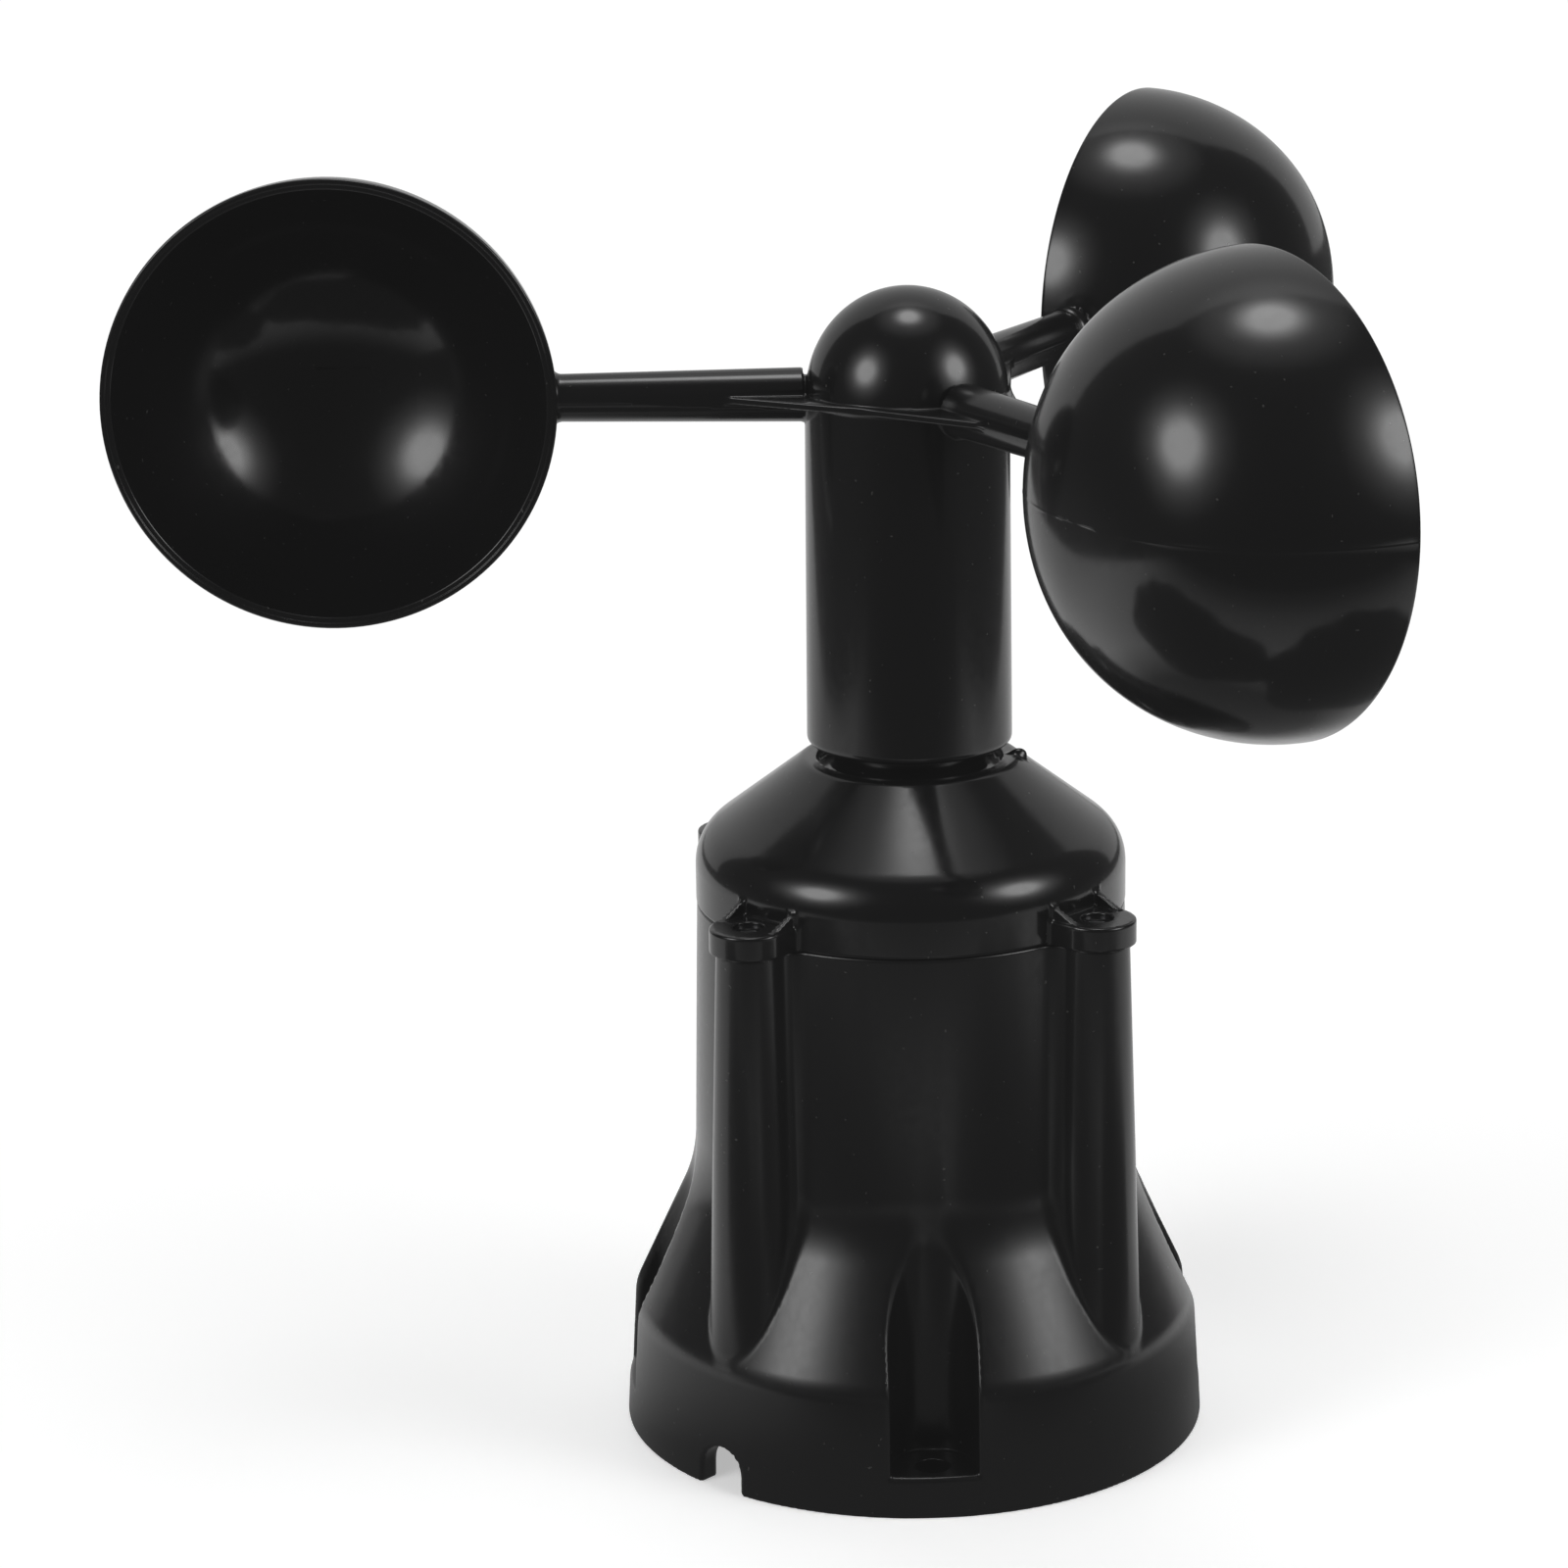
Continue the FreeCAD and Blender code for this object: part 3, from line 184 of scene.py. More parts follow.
# Sizes of the cells in which the smooth solids are meshed. The cells start at FINE_CELL or finer
# near a level place and grow by CELL_GROWTH of the distance beyond FINE_REACH.
LOWER_CELL = 0.58
UPPER_CELL = 0.52
UPPER_CELL_HEIGHT = 0.5
ROTOR_CELL = 0.44
ROTOR_CELL_HEIGHT = 0.4
FINE_CELL = 0.15
FINEST_CELL = 0.08
BURR_CELL = 0.2
BURR_FINE_REACH = (1.3, 0.9)
FINE_REACH = 0.4
CELL_GROWTH = 0.25

# Room left between the solids and the edges of their grids, and half the width of two grids.
SIDE_ROOM = 0.6
END_ROOM = 0.7
LIMB_ROOM = 4.8
CAP_REACH = 30.8
ROTOR_REACH = 46.768


# ---------------------------------------------------------------- materials
#
# Noise scales are per metre, and heights are in metres.

HAZE_SCALE = 900.0
HAZE_ROUGHNESS = (0.10, 0.15)
STREAK_SCALE = 420.0
STREAK_STRETCH = (1, 1, 0.03)
STREAK_ROUGHNESS = 0.035
STREAK_RANGE = (0.52, 0.75)
SATIN_ROUGHNESS = 0.09
SATIN_EDGE = 0.0001
SKIN_WAVE_SCALE = 45.0
SKIN_WAVE_HEIGHT = 0.00010
DUST_SCALE = 1900.0
DUST_RANGE = (0.84, 0.88)
DUST_COLOUR = (0.05, 0.05, 0.048, 1.0)
PLASTIC_IOR = 1.48
BODY_ROUGHNESS = 0.42
BODY_SPECULAR = 0.07
COAT_WEIGHT = 0.9
METAL_GRAIN_SCALE = 400.0
METAL_GRAIN_HEIGHT = 0.00001
MATT_GRAIN_SCALE = 700.0
MATT_GRAIN_HEIGHT = 0.00003
BLACK = (0.0034, 0.0034, 0.0036)


def shader(name):
    """A new node material, its nodes and links, and its Principled BSDF."""
    material = bpy.data.materials.new(name)
    material.use_nodes = True
    nodes = material.node_tree.nodes
    return material, nodes, material.node_tree.links, nodes["Principled BSDF"]


def place(nodes, links, scale=(1, 1, 1)):
    """Object coordinates in metres, stretched by scale."""
    coordinates = nodes.new("ShaderNodeTexCoord")
    mapping = nodes.new("ShaderNodeMapping")
    mapping.inputs["Scale"].default_value = scale
    links.new(coordinates.outputs["Object"], mapping.inputs["Vector"])
    return mapping.outputs["Vector"]


def noise(nodes, links, vector, scale, detail):
    """Noise from 0 to 1, this many cells to the metre."""
    texture = nodes.new("ShaderNodeTexNoise")
    texture.inputs["Scale"].default_value = scale
    texture.inputs["Detail"].default_value = detail
    links.new(vector, texture.inputs["Vector"])
    return texture.outputs["Fac"]


def spread(nodes, links, value, low, high, from_low=0.3, from_high=0.7):
    """Maps a value from one range to the range low to high, and holds it there."""
    change = nodes.new("ShaderNodeMapRange")
    change.inputs["From Min"].default_value = from_low
    change.inputs["From Max"].default_value = from_high
    change.inputs["To Min"].default_value = low
    change.inputs["To Max"].default_value = high
    links.new(value, change.inputs["Value"])
    return change.outputs["Result"]


def calculate(nodes, links, operation, *values):
    """A maths node on numbers and linked values."""
    node = nodes.new("ShaderNodeMath")
    node.operation = operation
    for socket, value in zip(node.inputs, values):
        if isinstance(value, (int, float)):
            socket.default_value = value
        else:
            links.new(value, socket)
    return node.outputs["Value"]


def bump(nodes, links, height, distance):
    """Normals of a skin that rises by this distance where height is 1."""
    node = nodes.new("ShaderNodeBump")
    node.inputs["Strength"].default_value = 1.0
    node.inputs["Distance"].default_value = distance
    links.new(height, node.inputs["Height"])
    return node.outputs["Normal"]


def plastic_roughness(nodes, links, where, satin_below):
    """Roughness of glossy plastic: haze, upright flow marks, and a duller part below a height."""
    haze = noise(nodes, links, where, HAZE_SCALE, 4.0)
    haze = spread(nodes, links, haze, *HAZE_ROUGHNESS)
    streaks = noise(nodes, links, place(nodes, links, STREAK_STRETCH), STREAK_SCALE, 2.0)
    streaks = spread(nodes, links, streaks, 0.0, STREAK_ROUGHNESS, *STREAK_RANGE)
    parts = nodes.new("ShaderNodeSeparateXYZ")
    links.new(where, parts.inputs["Vector"])
    edge = (satin_below - SATIN_EDGE, satin_below + SATIN_EDGE)
    satin = spread(nodes, links, parts.outputs["Z"], SATIN_ROUGHNESS, 0.0, *edge)
    rough = calculate(nodes, links, "ADD", haze, streaks)
    return calculate(nodes, links, "ADD", rough, satin)


def moulded_plastic(name, colour, satin_below=0.0):
    """Glossy moulded plastic with a slightly wavy skin and dust specks.

    Its coat gives the sharp reflections, and its body the wide soft glow round them. It is
    duller below the height satin_below, in metres.
    """
    material, nodes, links, principled = shader(name)
    where = place(nodes, links)
    wave = noise(nodes, links, where, SKIN_WAVE_SCALE, 1.0)
    normal = bump(nodes, links, wave, SKIN_WAVE_HEIGHT)
    dust = noise(nodes, links, where, DUST_SCALE, 0.0)
    dust = spread(nodes, links, dust, 0.0, 1.0, *DUST_RANGE)
    tint = nodes.new("ShaderNodeMix")
    tint.data_type = "RGBA"
    tint.inputs["A"].default_value = (*colour, 1.0)
    tint.inputs["B"].default_value = DUST_COLOUR
    links.new(dust, tint.inputs["Factor"])
    links.new(tint.outputs["Result"], principled.inputs["Base Color"])
    links.new(normal, principled.inputs["Normal"])
    principled.inputs["IOR"].default_value = PLASTIC_IOR
    principled.inputs["Roughness"].default_value = BODY_ROUGHNESS
    principled.inputs["Specular IOR Level"].default_value = BODY_SPECULAR
    principled.inputs["Coat Weight"].default_value = COAT_WEIGHT
    principled.inputs["Coat IOR"].default_value = PLASTIC_IOR
    coat_roughness = plastic_roughness(nodes, links, where, satin_below)
    links.new(coat_roughness, principled.inputs["Coat Roughness"])
    links.new(normal, principled.inputs["Coat Normal"])
    return material


def metal(name, colour, roughness, grain=(1, 1, 1)):
    """Bare metal with a fine grain, which may be finer along one axis."""
    material, nodes, links, principled = shader(name)
    where = place(nodes, links, grain)
    fine = noise(nodes, links, where, METAL_GRAIN_SCALE, 3.0)
    links.new(spread(nodes, links, fine, *roughness), principled.inputs["Roughness"])
    links.new(bump(nodes, links, fine, METAL_GRAIN_HEIGHT), principled.inputs["Normal"])
    principled.inputs["Base Color"].default_value = (*colour, 1.0)
    principled.inputs["Metallic"].default_value = 1.0
    return material


def matt(name, colour, roughness):
    """Rubber, laminate or dull plastic with a fine grain."""
    material, nodes, links, principled = shader(name)
    where = place(nodes, links)
    fine = noise(nodes, links, where, MATT_GRAIN_SCALE, 4.0)
    links.new(spread(nodes, links, fine, *roughness), principled.inputs["Roughness"])
    links.new(bump(nodes, links, fine, MATT_GRAIN_HEIGHT), principled.inputs["Normal"])
    principled.inputs["Base Color"].default_value = (*colour, 1.0)
    return material


FINISHES = {
    "housing_plastic": moulded_plastic("housing_plastic", BLACK, satin_below=SPLIT_Z * MM),
    "rotor_plastic": moulded_plastic("rotor_plastic", BLACK),
    "seal_rubber": matt("seal_rubber", (0.02, 0.02, 0.02), (0.55, 0.7)),
    "screw_steel": metal("screw_steel", (0.42, 0.42, 0.43), (0.25, 0.4)),
    "shaft_steel": metal("shaft_steel", (0.62, 0.62, 0.63), (0.15, 0.25), grain=(1, 1, 12)),
    "bearing_steel": metal("bearing_steel", (0.72, 0.72, 0.74), (0.08, 0.14)),
    "cage_steel": metal("cage_steel", (0.55, 0.54, 0.52), (0.25, 0.35)),
    "carrier_plastic": matt("carrier_plastic", (0.75, 0.74, 0.70), (0.35, 0.45)),
    "magnet": metal("magnet", (0.66, 0.66, 0.68), (0.12, 0.2)),
    "board_laminate": matt("board_laminate", (0.02, 0.16, 0.06), (0.25, 0.35)),
    "chip_plastic": matt("chip_plastic", (0.02, 0.02, 0.022), (0.5, 0.6)),
    "capacitor_can": metal("capacitor_can", (0.65, 0.66, 0.68), (0.25, 0.35)),
    "terminal_plastic": matt("terminal_plastic", (0.05, 0.30, 0.12), (0.35, 0.45)),
    "gland_nylon": matt("gland_nylon", (0.02, 0.02, 0.021), (0.35, 0.5)),
}


def finish_cad_nodes():
    """Every CAD node takes the finish of its slot in the record."""
    for part in frame["record"]["subparts"]:
        node = NODES[part["node"]]
        node.data.materials.clear()
        node.data.materials.append(FINISHES[part["material_slot"]])


# ---------------------------------------------------------------- smooth solids from distance fields
#
# A field is a function of x, y and z in millimetres, negative inside the solid. Corners are
# blended where solids join or meet, as the fillets of a moulding are.

NORMAL_REACH = 0.02
SURFACE_STEPS = 4
LEAST_SQUARE_SLOPE = 0.2


def fillet_width(radius, turn=90.0):
    """Width of the blend that rounds a corner of this turn with this radius."""
    return 4.0 * radius * (1.0 - math.cos(math.radians(turn) / 2.0))


def join(a, b, width=0.0):
    """Union, with a fillet along the inner corner."""
    if np.isscalar(width) and width == 0.0:
        return np.minimum(a, b)
    near = np.maximum(1.0 - np.abs(a - b) / width, 0.0)
    return np.minimum(a, b) - near * near * width / 4.0


def meet(a, b, width=0.0):
    """Intersection, with a rounding along the outer corner."""
    return -join(-a, -b, width)


def cut(a, b, width=0.0):
    """What is left of a without b, with a rounding along the edge."""
    return meet(a, -b, width)


def between(value, low, high):
    """Slab from low to high."""
    return np.abs(value - (low + high) / 2.0) - (high - low) / 2.0


def outside_line(r, z, start, end):
    """Distance to the right of the line from start to end, both (r, z)."""
    along_r = end[0] - start[0]
    along_z = end[1] - start[1]
    length = math.hypot(along_r, along_z)
    return ((r - start[0]) * along_z - (z - start[1]) * along_r) / length


def turn_between(first, middle, last):
    """Angle in degrees by which an outline turns at its middle point."""
    before = math.atan2(middle[1] - first[1], middle[0] - first[0])
    after = math.atan2(last[1] - middle[1], last[0] - middle[0])
    return abs(math.degrees(after - before))


def graded(low, high, step, fine_at=(), fine_step=FINE_CELL, fine_reach=FINE_REACH):
    """Grid positions from low to high, closer together round each place in fine_at."""
    places = [low]
    while places[-1] < high:
        nearest = min([abs(places[-1] - place) for place in fine_at], default=high - low)
        growth = CELL_GROWTH * max(nearest - fine_reach, 0.0)
        places.append(places[-1] + min(step, fine_step + growth))
    return np.array(places, dtype=np.float32)


def slope(field, points):
    """Slope of the field at points, which is nearly a unit normal."""
    normal = np.empty_like(points)
    for axis in range(3):
        ahead = points.copy()
        behind = points.copy()
        ahead[:, axis] += NORMAL_REACH
        behind[:, axis] -= NORMAL_REACH
        normal[:, axis] = (field(*ahead.T) - field(*behind.T)) / (2.0 * NORMAL_REACH)
    return normal


def cell_points(axes, values, cells):
    """The middle of the places where the surface crosses each cell's edges."""
    corners = [(i, j, k) for i in (0, 1) for j in (0, 1) for k in (0, 1)]
    total = np.zeros((len(cells), 3))
    count = np.zeros(len(cells))
    for axis in range(3):
        for corner in corners:
            if corner[axis] == 1:
                continue
            start = cells + np.array(corner)
            end = start.copy()
            end[:, axis] += 1
            a = values[tuple(start.T)]
            b = values[tuple(end.T)]
            crossed = (a < 0) != (b < 0)
            share = np.where(crossed, a / np.where(crossed, a - b, 1.0), 0.0)
            place = np.stack([axes[n][start[:, n]] for n in range(3)], axis=1).astype(float)
            place[:, axis] += share * (axes[axis][end[:, axis]] - axes[axis][start[:, axis]])
            total += place * crossed[:, None]
            count += crossed
    return total / count[:, None]


def surface_cells(inside):
    """Cells with some corners inside the solid and some outside, and each one's number."""
    some = np.zeros([size - 1 for size in inside.shape], dtype=bool)
    every = np.ones_like(some)
    for spans in itertools.product((slice(0, -1), slice(1, None)), repeat=3):
        some |= inside[spans]
        every &= inside[spans]
    cells = np.argwhere(some & ~every)
    number = np.full(some.shape, -1, dtype=np.int64)
    number[tuple(cells.T)] = np.arange(len(cells))
    return cells, number


def surface_quads(inside, number):
    """One quad round each grid edge that the surface crosses, seen from outside."""
    quads = []
    for axis in range(3):
        second = (axis + 1) % 3
        third = (axis + 2) % 3
        low = [slice(None)] * 3
        high = [slice(None)] * 3
        low[axis] = slice(0, -1)
        high[axis] = slice(1, None)
        here = inside[tuple(low)]
        there = inside[tuple(high)]
        for leaving in (True, False):
            crossed = here & ~there if leaving else ~here & there
            edges = np.argwhere(crossed)
            ring = []
            for step_2, step_3 in ((-1, -1), (0, -1), (0, 0), (-1, 0)):
                cell = edges.copy()
                cell[:, second] += step_2
                cell[:, third] += step_3
                ring.append(number[tuple(cell.T)])
            quads.append(np.stack(ring if leaving else ring[::-1], axis=1))
    return np.concatenate(quads)


def surface_of(field, axes):
    """Points, outward normals and quads of the surface where a field is zero."""
    x, y, z = np.meshgrid(*axes, indexing="ij", sparse=True)
    values = np.broadcast_to(field(x, y, z), [len(axis) for axis in axes]).astype(np.float32)
    inside = values < 0
    cells, number = surface_cells(inside)
    points = cell_points(axes, values, cells)
    for _ in range(SURFACE_STEPS):
        normal = slope(field, points)
        square = np.maximum((normal * normal).sum(axis=1), LEAST_SQUARE_SLOPE)
        points -= normal * (field(*points.T) / square)[:, None]
    normal = slope(field, points)
    normal /= np.linalg.norm(normal, axis=1)[:, None]
    return points, normal, surface_quads(inside, number)


def smooth_piece(name, points, faces, normals, body, slot, node):
    """A smooth piece of the object that rides on a body in place of its CAD node."""
    mesh = bpy.data.meshes.new(name)
    mesh.from_pydata((points * MM).tolist(), [], faces)
    mesh.shade_smooth()
    if normals is not None:
        mesh.normals_split_custom_set_from_vertices(normals.tolist())
    mesh.materials.append(FINISHES[slot])
    piece = bpy.data.objects.new(name, mesh)
    bpy.context.scene.collection.objects.link(piece)
    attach(piece, body)
    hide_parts(node)


def field_piece(name, field, axes, body, slot, node):
    """The smooth piece whose surface is where a field is zero."""
    points, normals, quads = surface_of(field, axes)
    smooth_piece(name, points, quads.tolist(), normals, body, slot, node)


# ---------------------------------------------------------------- lower housing

def diagonal(x, y):
    """Coordinates (along, across) of the nearest 45 degree ear."""
    half = math.sqrt(0.5)
    return (np.abs(x) + np.abs(y)) * half, (np.abs(x) - np.abs(y)) * half


def lobe(along, across, radius):
    """Upright wall with a round nose about the ear's screw axis."""
    return np.hypot(np.maximum(along - EAR_CENTRE_R, 0.0), across) - radius


def slot_field(along, across, half_width):
    """Upright slot with a round back about the pocket's centre."""
    return np.hypot(np.minimum(along - POCKET_CENTRE_R, 0.0), across) - half_width


def lower_outside(x, y, z):
    """Foot ring, flare and drafted wall with four drafted bosses."""
    r = np.hypot(x, y)
    foot = (BASE_R, 0.0)
    ring = outside_line(r, z, foot, RING_TOP)
    flare = outside_line(r, z, RING_TOP, FLARE_TOP)
    wall = outside_line(r, z, FLARE_TOP, BODY_TOP)
    flare_turn = turn_between(RING_TOP, FLARE_TOP, BODY_TOP)
    body = join(flare, wall, fillet_width(FLARE_TOP_FILLET, flare_turn))
    ring_turn = turn_between(foot, RING_TOP, FLARE_TOP)
    body = meet(ring, body, fillet_width(RING_TOP_FILLET, ring_turn))
    along, across = diagonal(x, y)
    climb = (z - BOSS_FOOT_Z) / (SPLIT_Z - BOSS_FOOT_Z)
    boss = lobe(along, across, BOSS_FOOT_R + (BOSS_TOP_R - BOSS_FOOT_R) * climb)
    boss = meet(boss, BOSS_FOOT_Z - z, FOOT_BLEND)
    heights = (FLARE_TOP[1] - BOSS_BLEND_RISE, FLARE_TOP[1])
    width = np.interp(z, heights, (WIDE_BLEND, fillet_width(BOSS_ROOT_ROUND)))
    body = join(body, boss, width.astype(np.float32))
    body = meet(body, z - SPLIT_Z, fillet_width(EDGE_ROUND))
    return meet(body, -z, fillet_width(EDGE_ROUND))


def lower_inside(x, y, z):
    """Chamber above the floor and cavity below it, round the pockets' walls."""
    r = np.hypot(x, y)
    along = np.maximum(np.abs(x), np.abs(y))
    across = np.minimum(np.abs(x), np.abs(y))
    cavity = meet(outside_line(r, z, *CAVITY[:2]), outside_line(r, z, *CAVITY[1:]))
    cavity = meet(cavity, z - FLOOR_BOTTOM_Z, fillet_width(EDGE_ROUND))
    block = slot_field(along, across, POCKET_HALF_WIDTH + POCKET_WALL)
    cavity = cut(cavity, block, fillet_width(EDGE_ROUND))
    chamber = meet(r - CHAMBER_R, FLOOR_TOP_Z - z, fillet_width(EDGE_ROUND))
    return join(join(cavity, chamber), r - GLAND_HOLE_R)


def notch_field(x, y, z):
    """Round-topped passage through the foot ring at 225 degrees."""
    along = -(x + y) * math.sqrt(0.5)
    across = (x - y) * math.sqrt(0.5)
    arch_z = NOTCH_HEIGHT - NOTCH_HALF_WIDTH
    arch = np.hypot(across, np.maximum(z - arch_z, 0.0)) - NOTCH_HALF_WIDTH
    return meet(arch, CAVITY[1][0] - NOTCH_PAST_WALL - along)


def lower_field(x, y, z):
    """Lower housing with its pockets, chamber, cavity, holes and cable notch."""
    along = np.maximum(np.abs(x), np.abs(y))
    across = np.minimum(np.abs(x), np.abs(y))
    pocket = slot_field(along, across, POCKET_HALF_WIDTH)
    pocket = meet(pocket, POCKET_FLOOR_Z - z, fillet_width(EDGE_ROUND))
    body = cut(lower_outside(x, y, z), pocket, fillet_width(POCKET_EDGE_ROUND))
    body = cut(body, lower_inside(x, y, z))
    body = cut(body, np.hypot(along - BASE_BOLT_R, across) - BASE_BOLT_HOLE_R, FINE_BLEND)
    ear_along, ear_across = diagonal(x, y)
    pilot = np.hypot(ear_along - EAR_CENTRE_R, ear_across) - PILOT_R
    body = cut(body, meet(pilot, PILOT_FOOT_Z - z))
    return cut(body, notch_field(x, y, z), fillet_width(EDGE_ROUND))


# ---------------------------------------------------------------- upper housing

def cap_outside(r, z):
    """Coned cap with a rounded shoulder, and the recess in its land."""
    side = r - CAP_R
    cone = outside_line(r, z, CAP_SHOULDER, CAP_CONE_TOP)
    turn = turn_between((CAP_R, SPLIT_Z), CAP_SHOULDER, CAP_CONE_TOP)
    cap = meet(side, cone, fillet_width(CAP_SHOULDER_FILLET, turn))
    cap = meet(cap, z - CAP_CONE_TOP[1], fillet_width(EDGE_ROUND))
    cap = meet(cap, SPLIT_Z - z, fillet_width(EDGE_ROUND))
    return cut(cap, meet(r - CAP_LAND_INNER_R, CAP_RECESS_Z - z), FINE_BLEND)


def cap_hollow(r, z):
    """Space under the roof, open below through the spigot."""
    under_cone = outside_line(r, z, CAP_SHOULDER, CAP_CONE_TOP) + CAP_WALL
    hollow = meet(r - SPIGOT_INNER_R, under_cone, fillet_width(HOLLOW_ROUND, HOLLOW_TURN))
    return meet(hollow, z - CAP_ROOF_UNDER_Z, fillet_width(ROOF_ROUND, ROOF_TURN))


def ear_field(x, y, z):
    """Screw ear with a thin gusset along each side, rising to the cap's wall."""
    r = np.hypot(x, y)
    along, across = diagonal(x, y)
    block = meet(lobe(along, across, EAR_R), z - EAR_TOP_Z, fillet_width(EDGE_ROUND))
    block = meet(block, SPLIT_Z - z, FINE_BLEND)
    start = (RIB_START_R, EAR_TOP_Z)
    end = (CAP_R - EAR_BITE, EAR_TOP_Z + RIB_HEIGHT)
    rib = np.abs(np.abs(across) - RIB_OFFSET) - RIB_THICKNESS / 2.0
    rib = meet(rib, outside_line(along, z, start, end), RIM_BLEND)
    rib = meet(rib, between(z, EAR_TOP_Z - OVERLAP, EAR_TOP_Z + 2 * RIB_HEIGHT))
    rib = meet(rib, along - RIB_START_R, FINE_BLEND)
    return meet(join(block, rib, FOOT_BLEND), CAP_R - EAR_BITE - r)


def tower_field(r, z):
    """Bearing tower, with its foot inside the cap."""
    tower = meet(r - TOWER_R, between(z, TOWER_FOOT[1], TOWER_TOP_Z), fillet_width(SMALL_FILLET))
    foot = meet(r - TOWER_FOOT[0], between(z, TOWER_FOOT[1], CAP_RECESS_Z - OVERLAP))
    return join(tower, foot)


def bore_field(r, z):
    """Bearing seats with the narrower stretch between them."""
    lower_seat = meet(r - SEAT_R, z - LOWER_SEAT_TOP_Z)
    upper_seat = meet(r - SEAT_R, UPPER_SEAT_FOOT_Z - z)
    return join(r - STEP_R, join(lower_seat, upper_seat))


def post_fields(x, y, z):
    """Board posts under the roof, and their screw pilots."""
    nearest = None
    for angle in POST_ANGLES:
        turn = math.radians(angle)
        away = np.hypot(x - POST_ORBIT_R * math.cos(turn), y - POST_ORBIT_R * math.sin(turn))
        nearest = away if nearest is None else np.minimum(nearest, away)
    post_top_z = CAP_ROOF_UNDER_Z - 2.0 * OVERLAP
    post = meet(nearest - POST_R, between(z, POST_FOOT_Z, post_top_z), FINE_BLEND)
    return post, meet(nearest - PILOT_R, z - POST_PILOT_TOP_Z)


def burr_field(x, y, z):
    """Small egg-shaped burr left on the edge of the cap's land."""
    outward = (x - BURR_PLACE[0]) / BURR_HALF_SIZES[0]
    sideways = (y - BURR_PLACE[1]) / BURR_HALF_SIZES[1]
    upward = (z - BURR_PLACE[2]) / BURR_HALF_SIZES[2]
    return (np.sqrt(outward ** 2 + sideways ** 2 + upward ** 2) - 1.0) * BURR_SIZE


def upper_field(x, y, z):
    """Upper housing with its ears, spigot, posts, bearing tower and holes."""
    r = np.hypot(x, y)
    cap = join(cap_outside(r, z), ear_field(x, y, z), fillet_width(SMALL_FILLET))
    cap = join(cap, burr_field(x, y, z), BURR_BLEND)
    spigot_top_z = SPLIT_Z + 2.0 * OVERLAP
    spigot = meet(r - SPIGOT_OUTER_R, between(z, SPIGOT_FOOT_Z, spigot_top_z), SOFT_BLEND)
    groove = meet(SEAL_GROOVE[0] - r, between(z, *SEAL_GROOVE[1:]))
    cap = join(cap, cut(spigot, groove))
    cap = cut(cap, cap_hollow(r, z))
    post, pilot = post_fields(x, y, z)
    cap = join(cap, cut(post, pilot), FOOT_BLEND)
    cap = cut(join(cap, tower_field(r, z), WIDE_BLEND), bore_field(r, z))
    along, across = diagonal(x, y)
    hole_r, seat_z = EAR_COUNTERBORE
    from_screw = np.hypot(along - EAR_CENTRE_R, across)
    cap = cut(cap, meet(from_screw - hole_r, seat_z - z), RIM_BLEND)
    return cut(cap, from_screw - EAR_HOLE_R)


# ---------------------------------------------------------------- hub and arms

def hub_field(r, z):
    """Bell with a dome, moulded in two halves that part in the arms' plane."""
    skirt = outside_line(r, z, HUB_BOTTOM, (HUB_TOP_R, ARM_PLANE_Z))
    skirt = meet(skirt, HUB_BOTTOM[1] - z, fillet_width(HUB_EDGE_ROUND))
    skirt = meet(skirt, z - ARM_PLANE_Z, fillet_width(SMALL_FILLET))
    dome_r = HUB_TOP_R - DOME_STEP
    dome = np.hypot(r / dome_r, (z - ARM_PLANE_Z) / DOME_HEIGHT) - 1.0
    dome = meet(dome * dome_r, ARM_PLANE_Z - OVERLAP - z)
    hollow = meet(r - HUB_BORE_R, z - HUB_ROOF_Z, fillet_width(HUB_ROOF_ROUND))
    stem = meet(r - HUB_STEM_R, HUB_STEM_Z - z, FOOT_BLEND)
    hub = cut(join(skirt, dome), cut(hollow, stem, STEM_BLEND))
    return cut(hub, meet(r - SHAFT_SOCKET[0], z - SHAFT_SOCKET[1]))


def arm_field(along, across, height):
    """Round tapering arm with a flare on its cup and a fine flash line along its seam."""
    from_axis = np.hypot(across, height)
    reach = (along - ARM_START) / (ARM_END - ARM_START)
    radius = ARM_ROOT_RADIUS + (ARM_TIP_RADIUS - ARM_ROOT_RADIUS) * np.clip(reach, 0.0, 1.0)
    flare_start = CUP_CENTRE - CUP_RIM_R + ARM_INTO_CUP - ARM_FLARE_RADIUS
    into_flare = np.clip(along - flare_start, 0.0, ARM_FLARE_RADIUS)
    radius = radius + ARM_FLARE_RADIUS - np.sqrt(ARM_FLARE_RADIUS ** 2 - into_flare ** 2)
    flash = FLASH_HEIGHT * np.exp(-(height / FLASH_WIDTH) ** 2)
    arm = meet(from_axis - radius - flash, between(along, ARM_START - 2.0 * OVERLAP, ARM_END))
    arm = meet(arm, across - CUP_RIM_AHEAD + ARM_BEHIND_RIM)
    neck = meet(from_axis - NECK_RADIUS, between(along, NECK_START, ARM_START))
    below = meet(from_axis - ARM_ROOT_RADIUS, meet(height, between(along, NECK_START, ARM_START)))
    arm = cut(arm, meet(-height, along - ARM_START))
    return join(arm, join(neck, below))


def web_field(along, across, height):
    """Thin plate between an arm's flanks and the hub."""
    lean = WEB_HUB_R / WEB_APEX
    edge = along * lean + np.abs(across) * math.sqrt(1.0 - lean * lean) - WEB_HUB_R
    plate = meet(edge, np.abs(height) - WEB_THICKNESS / 2.0, FINE_BLEND)
    return meet(plate, -along)


